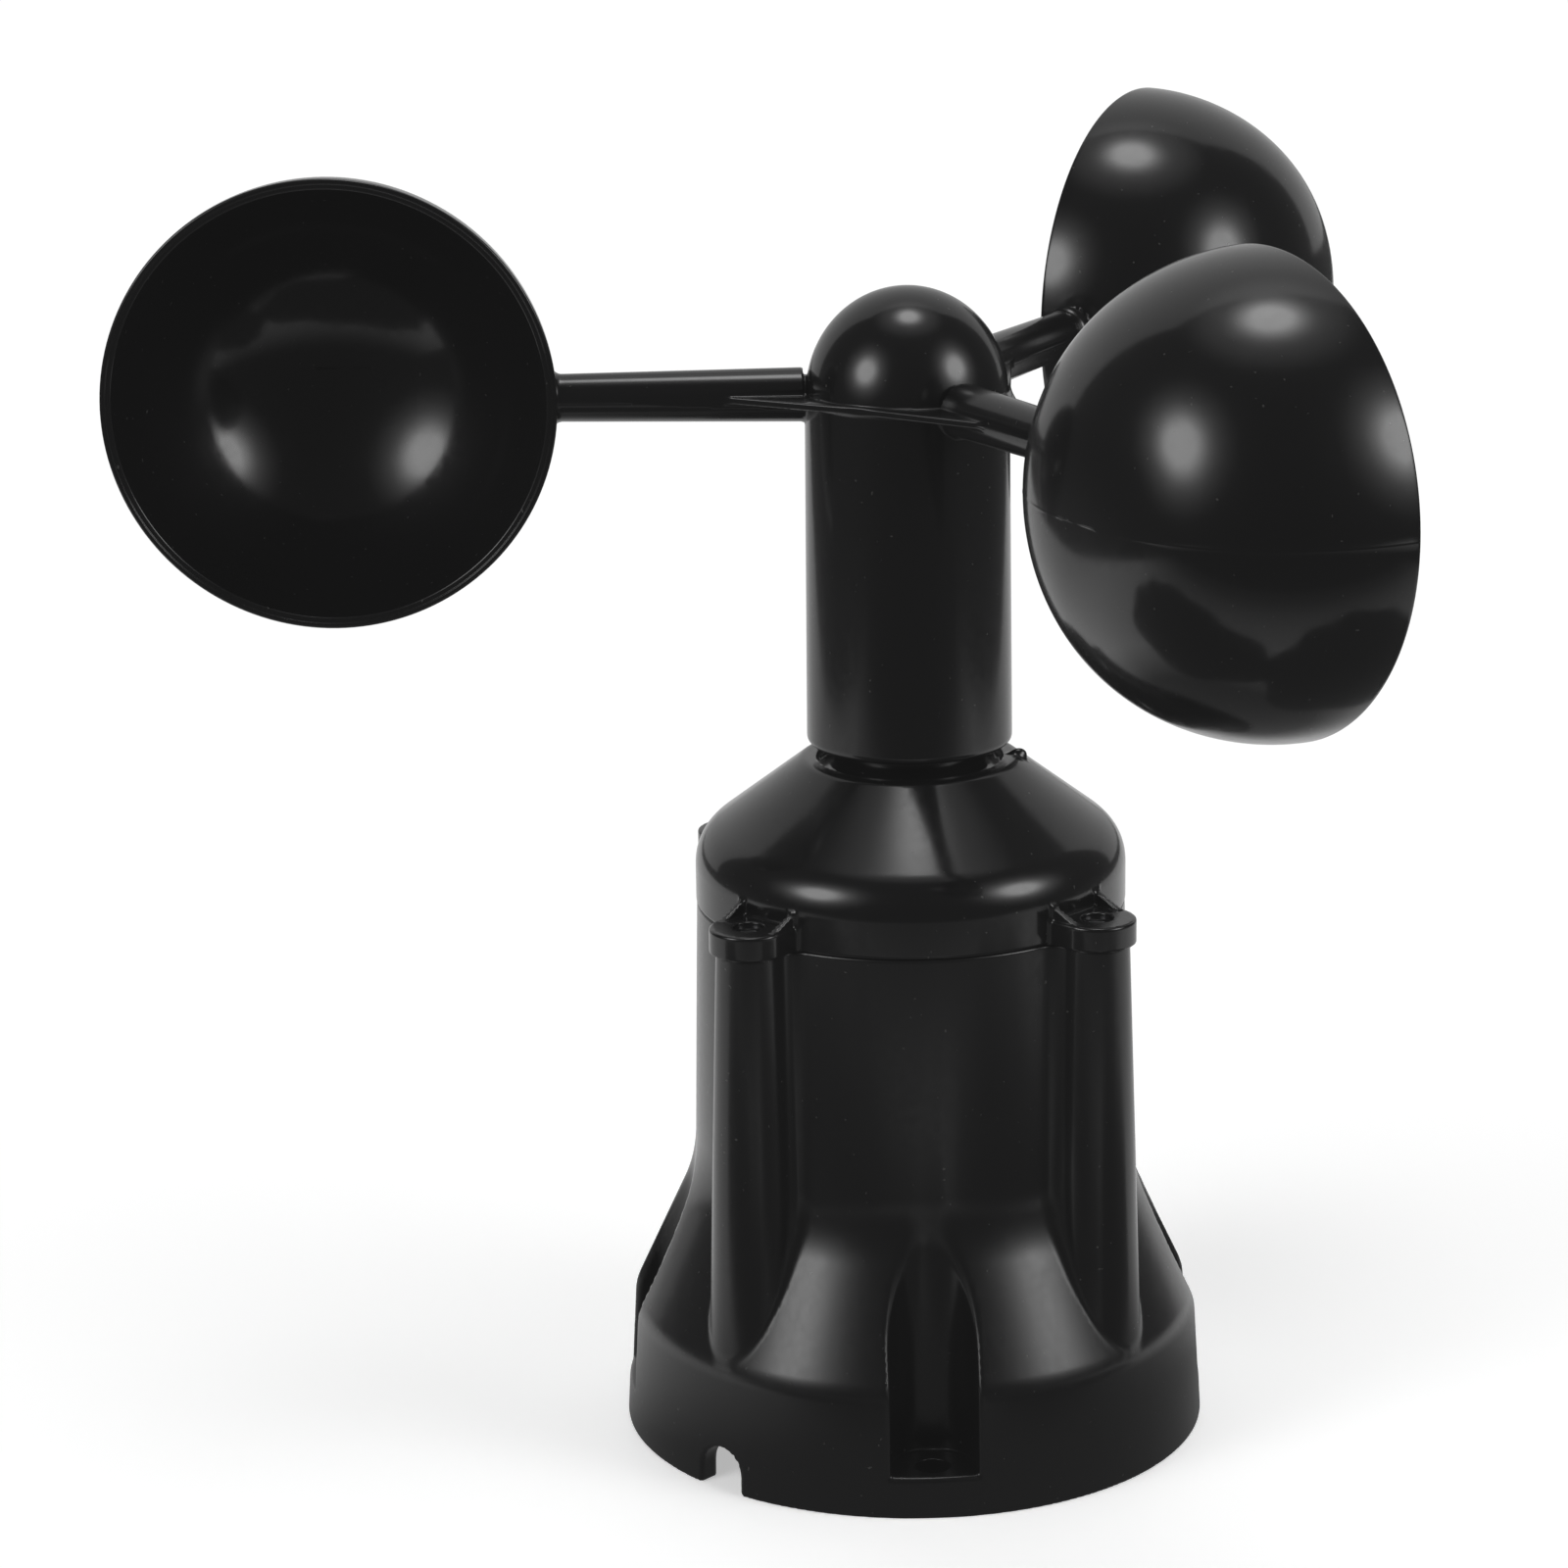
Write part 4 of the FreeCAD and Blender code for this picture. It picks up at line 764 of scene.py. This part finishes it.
def rotor_field(x, y, z):
    """Hub, arms and webs; the cups are meshes of their own."""
    r = np.hypot(x, y)
    body = hub_field(r, z)
    height = z - ARM_PLANE_Z
    for angle in ARM_ANGLES:
        turn = math.radians(angle)
        along = x * math.cos(turn) + y * math.sin(turn)
        across = y * math.cos(turn) - x * math.sin(turn)
        limb = join(arm_field(along, across, height), web_field(along, across, height), SOFT_BLEND)
        solid = cut(limb, meet(r - HUB_BORE_R, z - HUB_ROOF_Z))
        solid = cut(solid, meet(r - SHAFT_SOCKET[0], z - SHAFT_SOCKET[1]))
        body = join(body, solid, LIMB_BLEND)
    return body


# ---------------------------------------------------------------- cups

def cup_half_section(rim_r, depth, powers):
    """(radius, behind the rim) from the pole to the rim; powers of 1 give an ellipse."""
    turn = np.linspace(math.pi / 2.0, 0.0, CUP_RINGS)
    radius = rim_r * np.maximum(np.cos(turn), 0.0) ** powers[0]
    radius[0] = 0.0
    return np.stack([radius, depth * np.sin(turn) ** powers[1]], axis=1)


def quarter_turn(centre_r, centre_depth, radius, start):
    """Quarter circle of (radius, behind the rim) places, from start degrees."""
    places = []
    for degrees in (0.0, 22.5, 45.0, 67.5, 90.0):
        turn = math.radians(start + degrees)
        places.append((
            centre_r + radius * math.cos(turn),
            centre_depth - radius * math.sin(turn),
        ))
    return places


def lip_section():
    """Rim from the outer curve's end to the inner curve's end, with a fine step inside."""
    big = CUP_LIP_ROUND
    small = CUP_LIP_STEP / 2.0
    inner_r = CUP_RIM_R - CUP_WALL
    places = quarter_turn(CUP_RIM_R - big, big, big, 0.0)
    places += quarter_turn(CUP_LIP_STEP_R + small, small, small, 90.0)
    places += quarter_turn(CUP_LIP_STEP_R - small, small, small, 270.0)[::-1]
    places += quarter_turn(inner_r + big, CUP_LIP_STEP + big, big, 90.0)
    return np.array(places)


def cup_section():
    """Closed wall section: outer curve to the rim, over the lip, inner curve to the pole."""
    outer = cup_half_section(CUP_RIM_R, CUP_DEPTH, CUP_OUTER_POWERS)
    inner = cup_half_section(CUP_RIM_R - CUP_WALL, CUP_DEPTH - CUP_WALL, CUP_INNER_POWERS)[::-1]
    outer = outer[outer[:, 1] > CUP_LIP_ROUND + CUP_LIP_GAP]
    inner = inner[inner[:, 1] > CUP_LIP_ROUND + CUP_LIP_STEP + CUP_LIP_GAP]
    return np.concatenate([outer, lip_section(), inner]), len(outer)


def cup_columns():
    """(angle, sideways shift in mm, lift in mm) of each column; the seam lies at 0 and 180."""
    columns = []
    for index in range(CUP_COLUMNS):
        angle = 2.0 * math.pi * index / CUP_COLUMNS
        if index % (CUP_COLUMNS // 2) == 0:
            columns.append((angle, -CUP_SEAM_HALF_WIDTH, 0.0))
            columns.append((angle, 0.0, CUP_SEAM_HEIGHT))
            columns.append((angle, CUP_SEAM_HALF_WIDTH, 0.0))
        else:
            columns.append((angle, 0.0, 0.0))
    return columns


def cup_rings():
    """Rings of points of the cup on an arm along +X, opening towards +Y; a pole has one point."""
    section, outer_count = cup_section()
    rings = []
    for index, (radius, behind) in enumerate(section):
        if radius == 0.0:
            rings.append([(CUP_CENTRE, CUP_RIM_AHEAD - behind, ARM_PLANE_Z)])
            continue
        ring = []
        for angle, shift, lift in cup_columns():
            turn = angle + shift / max(radius, 1.0)
            here = radius + (lift if 0 < index < outer_count else 0.0)
            ring.append((
                CUP_CENTRE + here * math.cos(turn),
                CUP_RIM_AHEAD - behind,
                ARM_PLANE_Z + here * math.sin(turn),
            ))
        rings.append(ring)
    return rings


def cup_mesh():
    """Points and faces of the cup on an arm along +X."""
    rings = cup_rings()
    starts = np.cumsum([0] + [len(ring) for ring in rings]).tolist()
    count = len(rings[1])
    faces = []
    for index in range(len(rings) - 1):
        near = starts[index]
        far = starts[index + 1]
        for column in range(count):
            following = (column + 1) % count
            if len(rings[index]) == 1:
                faces.append((near, far + column, far + following))
            elif len(rings[index + 1]) == 1:
                faces.append((near + following, near + column, far))
            else:
                faces.append((near + following, near + column, far + column, far + following))
    return np.array([place for ring in rings for place in ring]), faces


# ---------------------------------------------------------------- smooth pieces

def make_housings():
    """The two black housings."""
    across = graded(-BASE_R - SIDE_ROOM, BASE_R + SIDE_ROOM, LOWER_CELL)
    levels = (0.0, POCKET_FLOOR_Z, SPLIT_Z)
    upward = graded(-END_ROOM, SPLIT_Z + END_ROOM, LOWER_CELL, levels)
    axes = (across, across, upward)
    field_piece("lower_shell", lower_field, axes, "housing", "housing_plastic", "lower_housing")
    finer = (BURR_CELL, BURR_FINE_REACH[0])
    across = graded(-CAP_REACH, CAP_REACH, UPPER_CELL, BURR_PLACE[:1], *finer)
    finer = (BURR_CELL, BURR_FINE_REACH[1])
    ahead = graded(-CAP_REACH, CAP_REACH, UPPER_CELL, BURR_PLACE[1:2], *finer)
    levels = (SPLIT_Z, EAR_TOP_Z, CAP_CONE_TOP[1], TOWER_TOP_Z)
    upward = graded(SPIGOT_FOOT_Z - END_ROOM, TOWER_TOP_Z + END_ROOM, UPPER_CELL_HEIGHT, levels)
    axes = (across, ahead, upward)
    field_piece("upper_shell", upper_field, axes, "housing", "housing_plastic", "upper_housing")


def make_rotor():
    """The wind rotor: its hub and arms, and three cups."""
    low_x = ARM_END * math.cos(math.radians(ARM_ANGLES[1])) - LIMB_ROOM
    high_x = ARM_END * math.cos(math.radians(ARM_ANGLES[0])) + LIMB_ROOM
    across = graded(low_x, high_x, ROTOR_CELL)
    ahead = graded(-ROTOR_REACH, ROTOR_REACH, ROTOR_CELL)
    low_z = HUB_BOTTOM[1] - SIDE_ROOM
    high_z = ARM_PLANE_Z + DOME_HEIGHT + SIDE_ROOM
    levels = (HUB_BOTTOM[1], ARM_PLANE_Z)
    upward = graded(low_z, high_z, ROTOR_CELL_HEIGHT, levels, FINEST_CELL)
    axes = (across, ahead, upward)
    field_piece("hub_and_arms", rotor_field, axes, "rotor", "rotor_plastic", "cup_rotor")
    points, faces = cup_mesh()
    for number, angle in enumerate(ARM_ANGLES, start=1):
        turn = Matrix.Rotation(math.radians(angle), 3, "Z")
        turned = points @ np.array(turn.transposed())
        smooth_piece(f"cup_{number}", turned, faces, None, "rotor", "rotor_plastic", "cup_rotor")


# ---------------------------------------------------------------- studio

CAMERA_DISTANCE = 650.92 * MM
CAMERA_HEIGHT = 276.15 * MM
CAMERA_SIDE = math.radians(4.0)
CAMERA_HEADING = math.radians(2.5)
CAMERA_PITCH = math.radians(15.94)
CAMERA_ROLL = math.radians(-0.8)
CAMERA_LENS = 114.75
SENSOR_WIDTH = 36.0

FLOOR_HALF_WIDTH = 0.39
FLOOR_FRONT = 0.31
FLOOR_BACK = 2.0
FLOOR_RADIANCE = 0.92
FLOOR_GREY = 0.86
FLOOR_GLOW = 0.45
FLOOR_SHADOW_REACH = (0.06, 0.20)

# Shares of the floor's radiance at two places, and then the two places.
FLOOR_FRONT_DIM = (0.16, 1.0, -0.28, -0.11)
FLOOR_BACK_DIM = (1.0, 0.75, 0.02, 0.14)
FOOT_DIM = (0.18, 1.0, 0.058, 0.118)
FOOT_DIM_CENTRE = (0.012, -0.030, 0)

SHADE_HEIGHT = 0.0005
BACKDROP_HALF_WIDTH = 2.56
BACKDROP_HEIGHT = 4.7
BACKDROP_RADIANCE = 0.52
ROOM_RADIANCE = 0.06
SHADE_RADIANCE = 0.07
WHITE_TO_LENS = 1.02
LIGHT_DISTANCE = 1.4
LIGHT_RADIANCE = 5.5
LIGHT_RIM = (0.45, 1.0)
HALO_RADIANCE = 0.6
HALO_WIDTH = 46
LIGHT_REACH = 30
LENS_VEIL = 0.0060
STUDIO_CENTRE = Vector((0, 0, 0.12))


def make_camera():
    """Long lens in front of the object and above it, held a little off level."""
    data = bpy.data.cameras.new("camera")
    data.lens = CAMERA_LENS
    data.sensor_width = SENSOR_WIDTH
    data.clip_start = 0.01
    data.clip_end = 50.0
    camera = bpy.data.objects.new("camera", data)
    bpy.context.scene.collection.objects.link(camera)
    ahead = Vector((
        math.sin(CAMERA_HEADING) * math.cos(CAMERA_PITCH),
        math.cos(CAMERA_HEADING) * math.cos(CAMERA_PITCH),
        -math.sin(CAMERA_PITCH),
    ))
    level_right = Vector((math.cos(CAMERA_HEADING), -math.sin(CAMERA_HEADING), 0))
    level_up = level_right.cross(ahead)
    right = level_right * math.cos(CAMERA_ROLL) + level_up * math.sin(CAMERA_ROLL)
    up = right.cross(ahead)
    spot = Vector((
        -CAMERA_DISTANCE * math.sin(CAMERA_SIDE),
        -CAMERA_DISTANCE * math.cos(CAMERA_SIDE),
        CAMERA_HEIGHT,
    ))
    turn = Matrix((right, up, -ahead)).transposed().to_4x4()
    camera.matrix_world = Matrix.Translation(spot) @ turn
    bpy.context.scene.camera = camera


def bell(nodes, links, square, radiance, width):
    """Bell-shaped brightness over a light's sheet, this many degrees wide at half its height."""
    reach = math.tan(math.radians(LIGHT_REACH)) / math.tan(math.radians(width / 2.0))
    fade = calculate(nodes, links, "MULTIPLY", square, -math.log(2.0) * reach ** 2)
    height = calculate(nodes, links, "EXPONENT", fade)
    return calculate(nodes, links, "MULTIPLY", height, radiance)


def softbox(name, azimuth, elevation, width):
    """A round light aimed at the object, with an evenly bright heart and a dim halo.

    The heart is this many degrees wide, and azimuth 0 is the front.
    """
    data = bpy.data.lights.new(name, "AREA")
    data.shape = "SQUARE"
    data.size = 2.0 * LIGHT_DISTANCE * math.tan(math.radians(LIGHT_REACH))
    data.energy = math.pi * data.size ** 2
    data.use_nodes = True
    nodes = data.node_tree.nodes
    links = data.node_tree.links
    geometry = nodes.new("ShaderNodeNewGeometry")
    centred = nodes.new("ShaderNodeVectorMath")
    centred.operation = "MULTIPLY_ADD"
    centred.inputs[1].default_value = (2, 2, 0)
    centred.inputs[2].default_value = (-1, -1, 0)
    links.new(geometry.outputs["Parametric"], centred.inputs[0])
    square = nodes.new("ShaderNodeVectorMath")
    square.operation = "DOT_PRODUCT"
    links.new(centred.outputs["Vector"], square.inputs[0])
    links.new(centred.outputs["Vector"], square.inputs[1])
    bright = bell(nodes, links, square.outputs["Value"], 2.0 * LIGHT_RADIANCE, width)
    heart = calculate(nodes, links, "MINIMUM", bright, LIGHT_RADIANCE)
    halo = bell(nodes, links, square.outputs["Value"], HALO_RADIANCE, HALO_WIDTH)
    total = calculate(nodes, links, "ADD", heart, halo)
    rim = spread(nodes, links, square.outputs["Value"], 1.0, 0.0, *LIGHT_RIM)
    shown = calculate(nodes, links, "MULTIPLY", total, rim)
    links.new(shown, nodes["Emission"].inputs["Strength"])
    light = bpy.data.objects.new(name, data)
    bpy.context.scene.collection.objects.link(light)
    heading = math.radians(azimuth)
    climb = math.radians(elevation)
    back = Vector((
        math.sin(heading) * math.cos(climb),
        -math.cos(heading) * math.cos(climb),
        math.sin(climb),
    ))
    light.location = STUDIO_CENTRE + back * LIGHT_DISTANCE
    light.rotation_euler = back.to_track_quat("Z", "Y").to_euler()
    light.visible_camera = False


def make_lights():
    """Three round softboxes: left, right and overhead."""
    for name, azimuth, elevation, width in (
        ("left_softbox", -57, 26, 17),
        ("right_softbox", 60, 26, 17),
        ("top_softbox", 160, 84, 13),
    ):
        softbox(name, azimuth, elevation, width)


def stage_sheet(name, corners, material):
    """Flat sheet that belongs to the studio."""
    mesh = bpy.data.meshes.new(name)
    mesh.from_pydata(corners, [], [tuple(range(len(corners)))])
    mesh.materials.append(material)
    piece = bpy.data.objects.new(name, mesh)
    bpy.context.scene.collection.objects.link(piece)
    return piece


def emitting(name, for_camera, otherwise):
    """Evenly lit sheet: one radiance straight to the lens, another in reflections."""
    material, nodes, links, _ = shader(name)
    path = nodes.new("ShaderNodeLightPath")
    strength = spread(nodes, links, path.outputs["Is Camera Ray"], otherwise, for_camera, 0.0, 1.0)
    glow = nodes.new("ShaderNodeEmission")
    links.new(strength, glow.inputs["Strength"])
    links.new(glow.outputs["Emission"], nodes["Material Output"].inputs["Surface"])
    return material


def floor_glow(nodes, links, where):
    """Radiance of the floor in reflections: dim at its front edge, behind, and by the foot."""
    parts = nodes.new("ShaderNodeSeparateXYZ")
    links.new(where, parts.inputs["Vector"])
    front = spread(nodes, links, parts.outputs["Y"], *FLOOR_FRONT_DIM)
    behind = spread(nodes, links, parts.outputs["Y"], *FLOOR_BACK_DIM)
    offset = nodes.new("ShaderNodeVectorMath")
    offset.operation = "DISTANCE"
    offset.inputs[1].default_value = FOOT_DIM_CENTRE
    links.new(where, offset.inputs[0])
    foot = spread(nodes, links, offset.outputs["Value"], *FOOT_DIM)
    shade = calculate(nodes, links, "MULTIPLY", front, behind)
    shade = calculate(nodes, links, "MULTIPLY", shade, foot)
    return calculate(nodes, links, "MULTIPLY", shade, FLOOR_RADIANCE)


def floor_finish():
    """Pale matt floor: a soft contact shadow near the object, evenly lit away from it."""
    material, nodes, links, principled = shader("floor")
    where = place(nodes, links)
    principled.inputs["Base Color"].default_value = (FLOOR_GREY, FLOOR_GREY, FLOOR_GREY, 1)
    principled.inputs["Roughness"].default_value = 0.8
    principled.inputs["Specular IOR Level"].default_value = 0.0
    principled.inputs["Emission Color"].default_value = (1, 1, 1, 1)
    principled.inputs["Emission Strength"].default_value = FLOOR_GLOW
    length = nodes.new("ShaderNodeVectorMath")
    length.operation = "LENGTH"
    links.new(where, length.inputs[0])
    far = spread(nodes, links, length.outputs["Value"], 0.0, 1.0, *FLOOR_SHADOW_REACH)
    path = nodes.new("ShaderNodeLightPath")
    seen = path.outputs["Is Camera Ray"]
    indirect = calculate(nodes, links, "SUBTRACT", 1.0, seen)
    flat = calculate(nodes, links, "MAXIMUM", far, indirect)
    to_lens = calculate(nodes, links, "MULTIPLY", seen, WHITE_TO_LENS)
    reflected = calculate(nodes, links, "MULTIPLY", indirect, floor_glow(nodes, links, where))
    glow = nodes.new("ShaderNodeEmission")
    links.new(calculate(nodes, links, "ADD", to_lens, reflected), glow.inputs["Strength"])
    mix = nodes.new("ShaderNodeMixShader")
    links.new(flat, mix.inputs["Fac"])
    links.new(principled.outputs["BSDF"], mix.inputs[1])
    links.new(glow.outputs["Emission"], mix.inputs[2])
    links.new(mix.outputs["Shader"], nodes["Material Output"].inputs["Surface"])
    return material


def floor_shade(name, centre_x, centre_y, radius_x, radius_y):
    """Dark patch with a wavy edge on the floor in front, seen only in reflections."""
    corners = []
    for degrees in range(0, 360, 5):
        turn = math.radians(degrees)
        wave = 1.0 + 0.05 * math.sin(3 * turn + centre_x * 40) + 0.045 * math.sin(8 * turn)
        x = centre_x + radius_x * wave * math.cos(turn)
        y = centre_y + radius_y * wave * math.sin(turn)
        corners.append((x, y, SHADE_HEIGHT))
    shade = stage_sheet(name, corners, emitting(name, SHADE_RADIANCE, SHADE_RADIANCE))
    shade.visible_camera = False
    shade.visible_diffuse = False
    shade.visible_shadow = False


def make_stage():
    """Floor, backdrop and the dark patches that the object's lower parts reflect."""
    left = -FLOOR_HALF_WIDTH
    right = FLOOR_HALF_WIDTH
    front = -FLOOR_FRONT
    back = FLOOR_BACK
    corners = [(left, front, 0), (right, front, 0), (right, back, 0), (left, back, 0)]
    stage_sheet("floor", corners, floor_finish())
    left = -BACKDROP_HALF_WIDTH
    right = BACKDROP_HALF_WIDTH
    top = BACKDROP_HEIGHT
    corners = [(left, back, 0), (right, back, 0), (right, back, top), (left, back, top)]
    stage_sheet("backdrop", corners, emitting("backdrop", WHITE_TO_LENS, BACKDROP_RADIANCE))
    floor_shade("floor_shade_left", centre_x=-0.120, centre_y=-0.133, radius_x=0.152, radius_y=0.072)
    floor_shade("floor_shade_right", centre_x=0.122, centre_y=-0.120, radius_x=0.091, radius_y=0.096)


def make_world():
    """White behind the object for the camera, a dim room in the reflections."""
    world = bpy.data.worlds.new("studio")
    bpy.context.scene.world = world
    world.use_nodes = True
    nodes = world.node_tree.nodes
    links = world.node_tree.links
    path = nodes.new("ShaderNodeLightPath")
    seen = path.outputs["Is Camera Ray"]
    shade = spread(nodes, links, seen, ROOM_RADIANCE, WHITE_TO_LENS, 0.0, 1.0)
    links.new(shade, nodes["Background"].inputs["Color"])


def set_tones():
    """Plain tones, with the faint veil that a lens lays over black in a white room."""
    view = bpy.context.scene.view_settings
    view.view_transform = "Standard"
    view.use_curve_mapping = True
    view.curve_mapping.black_level = (-LENS_VEIL, -LENS_VEIL, -LENS_VEIL)
    view.curve_mapping.update()


finish_cad_nodes()
make_housings()
make_rotor()
make_camera()
make_lights()
make_stage()
make_world()
set_tones()
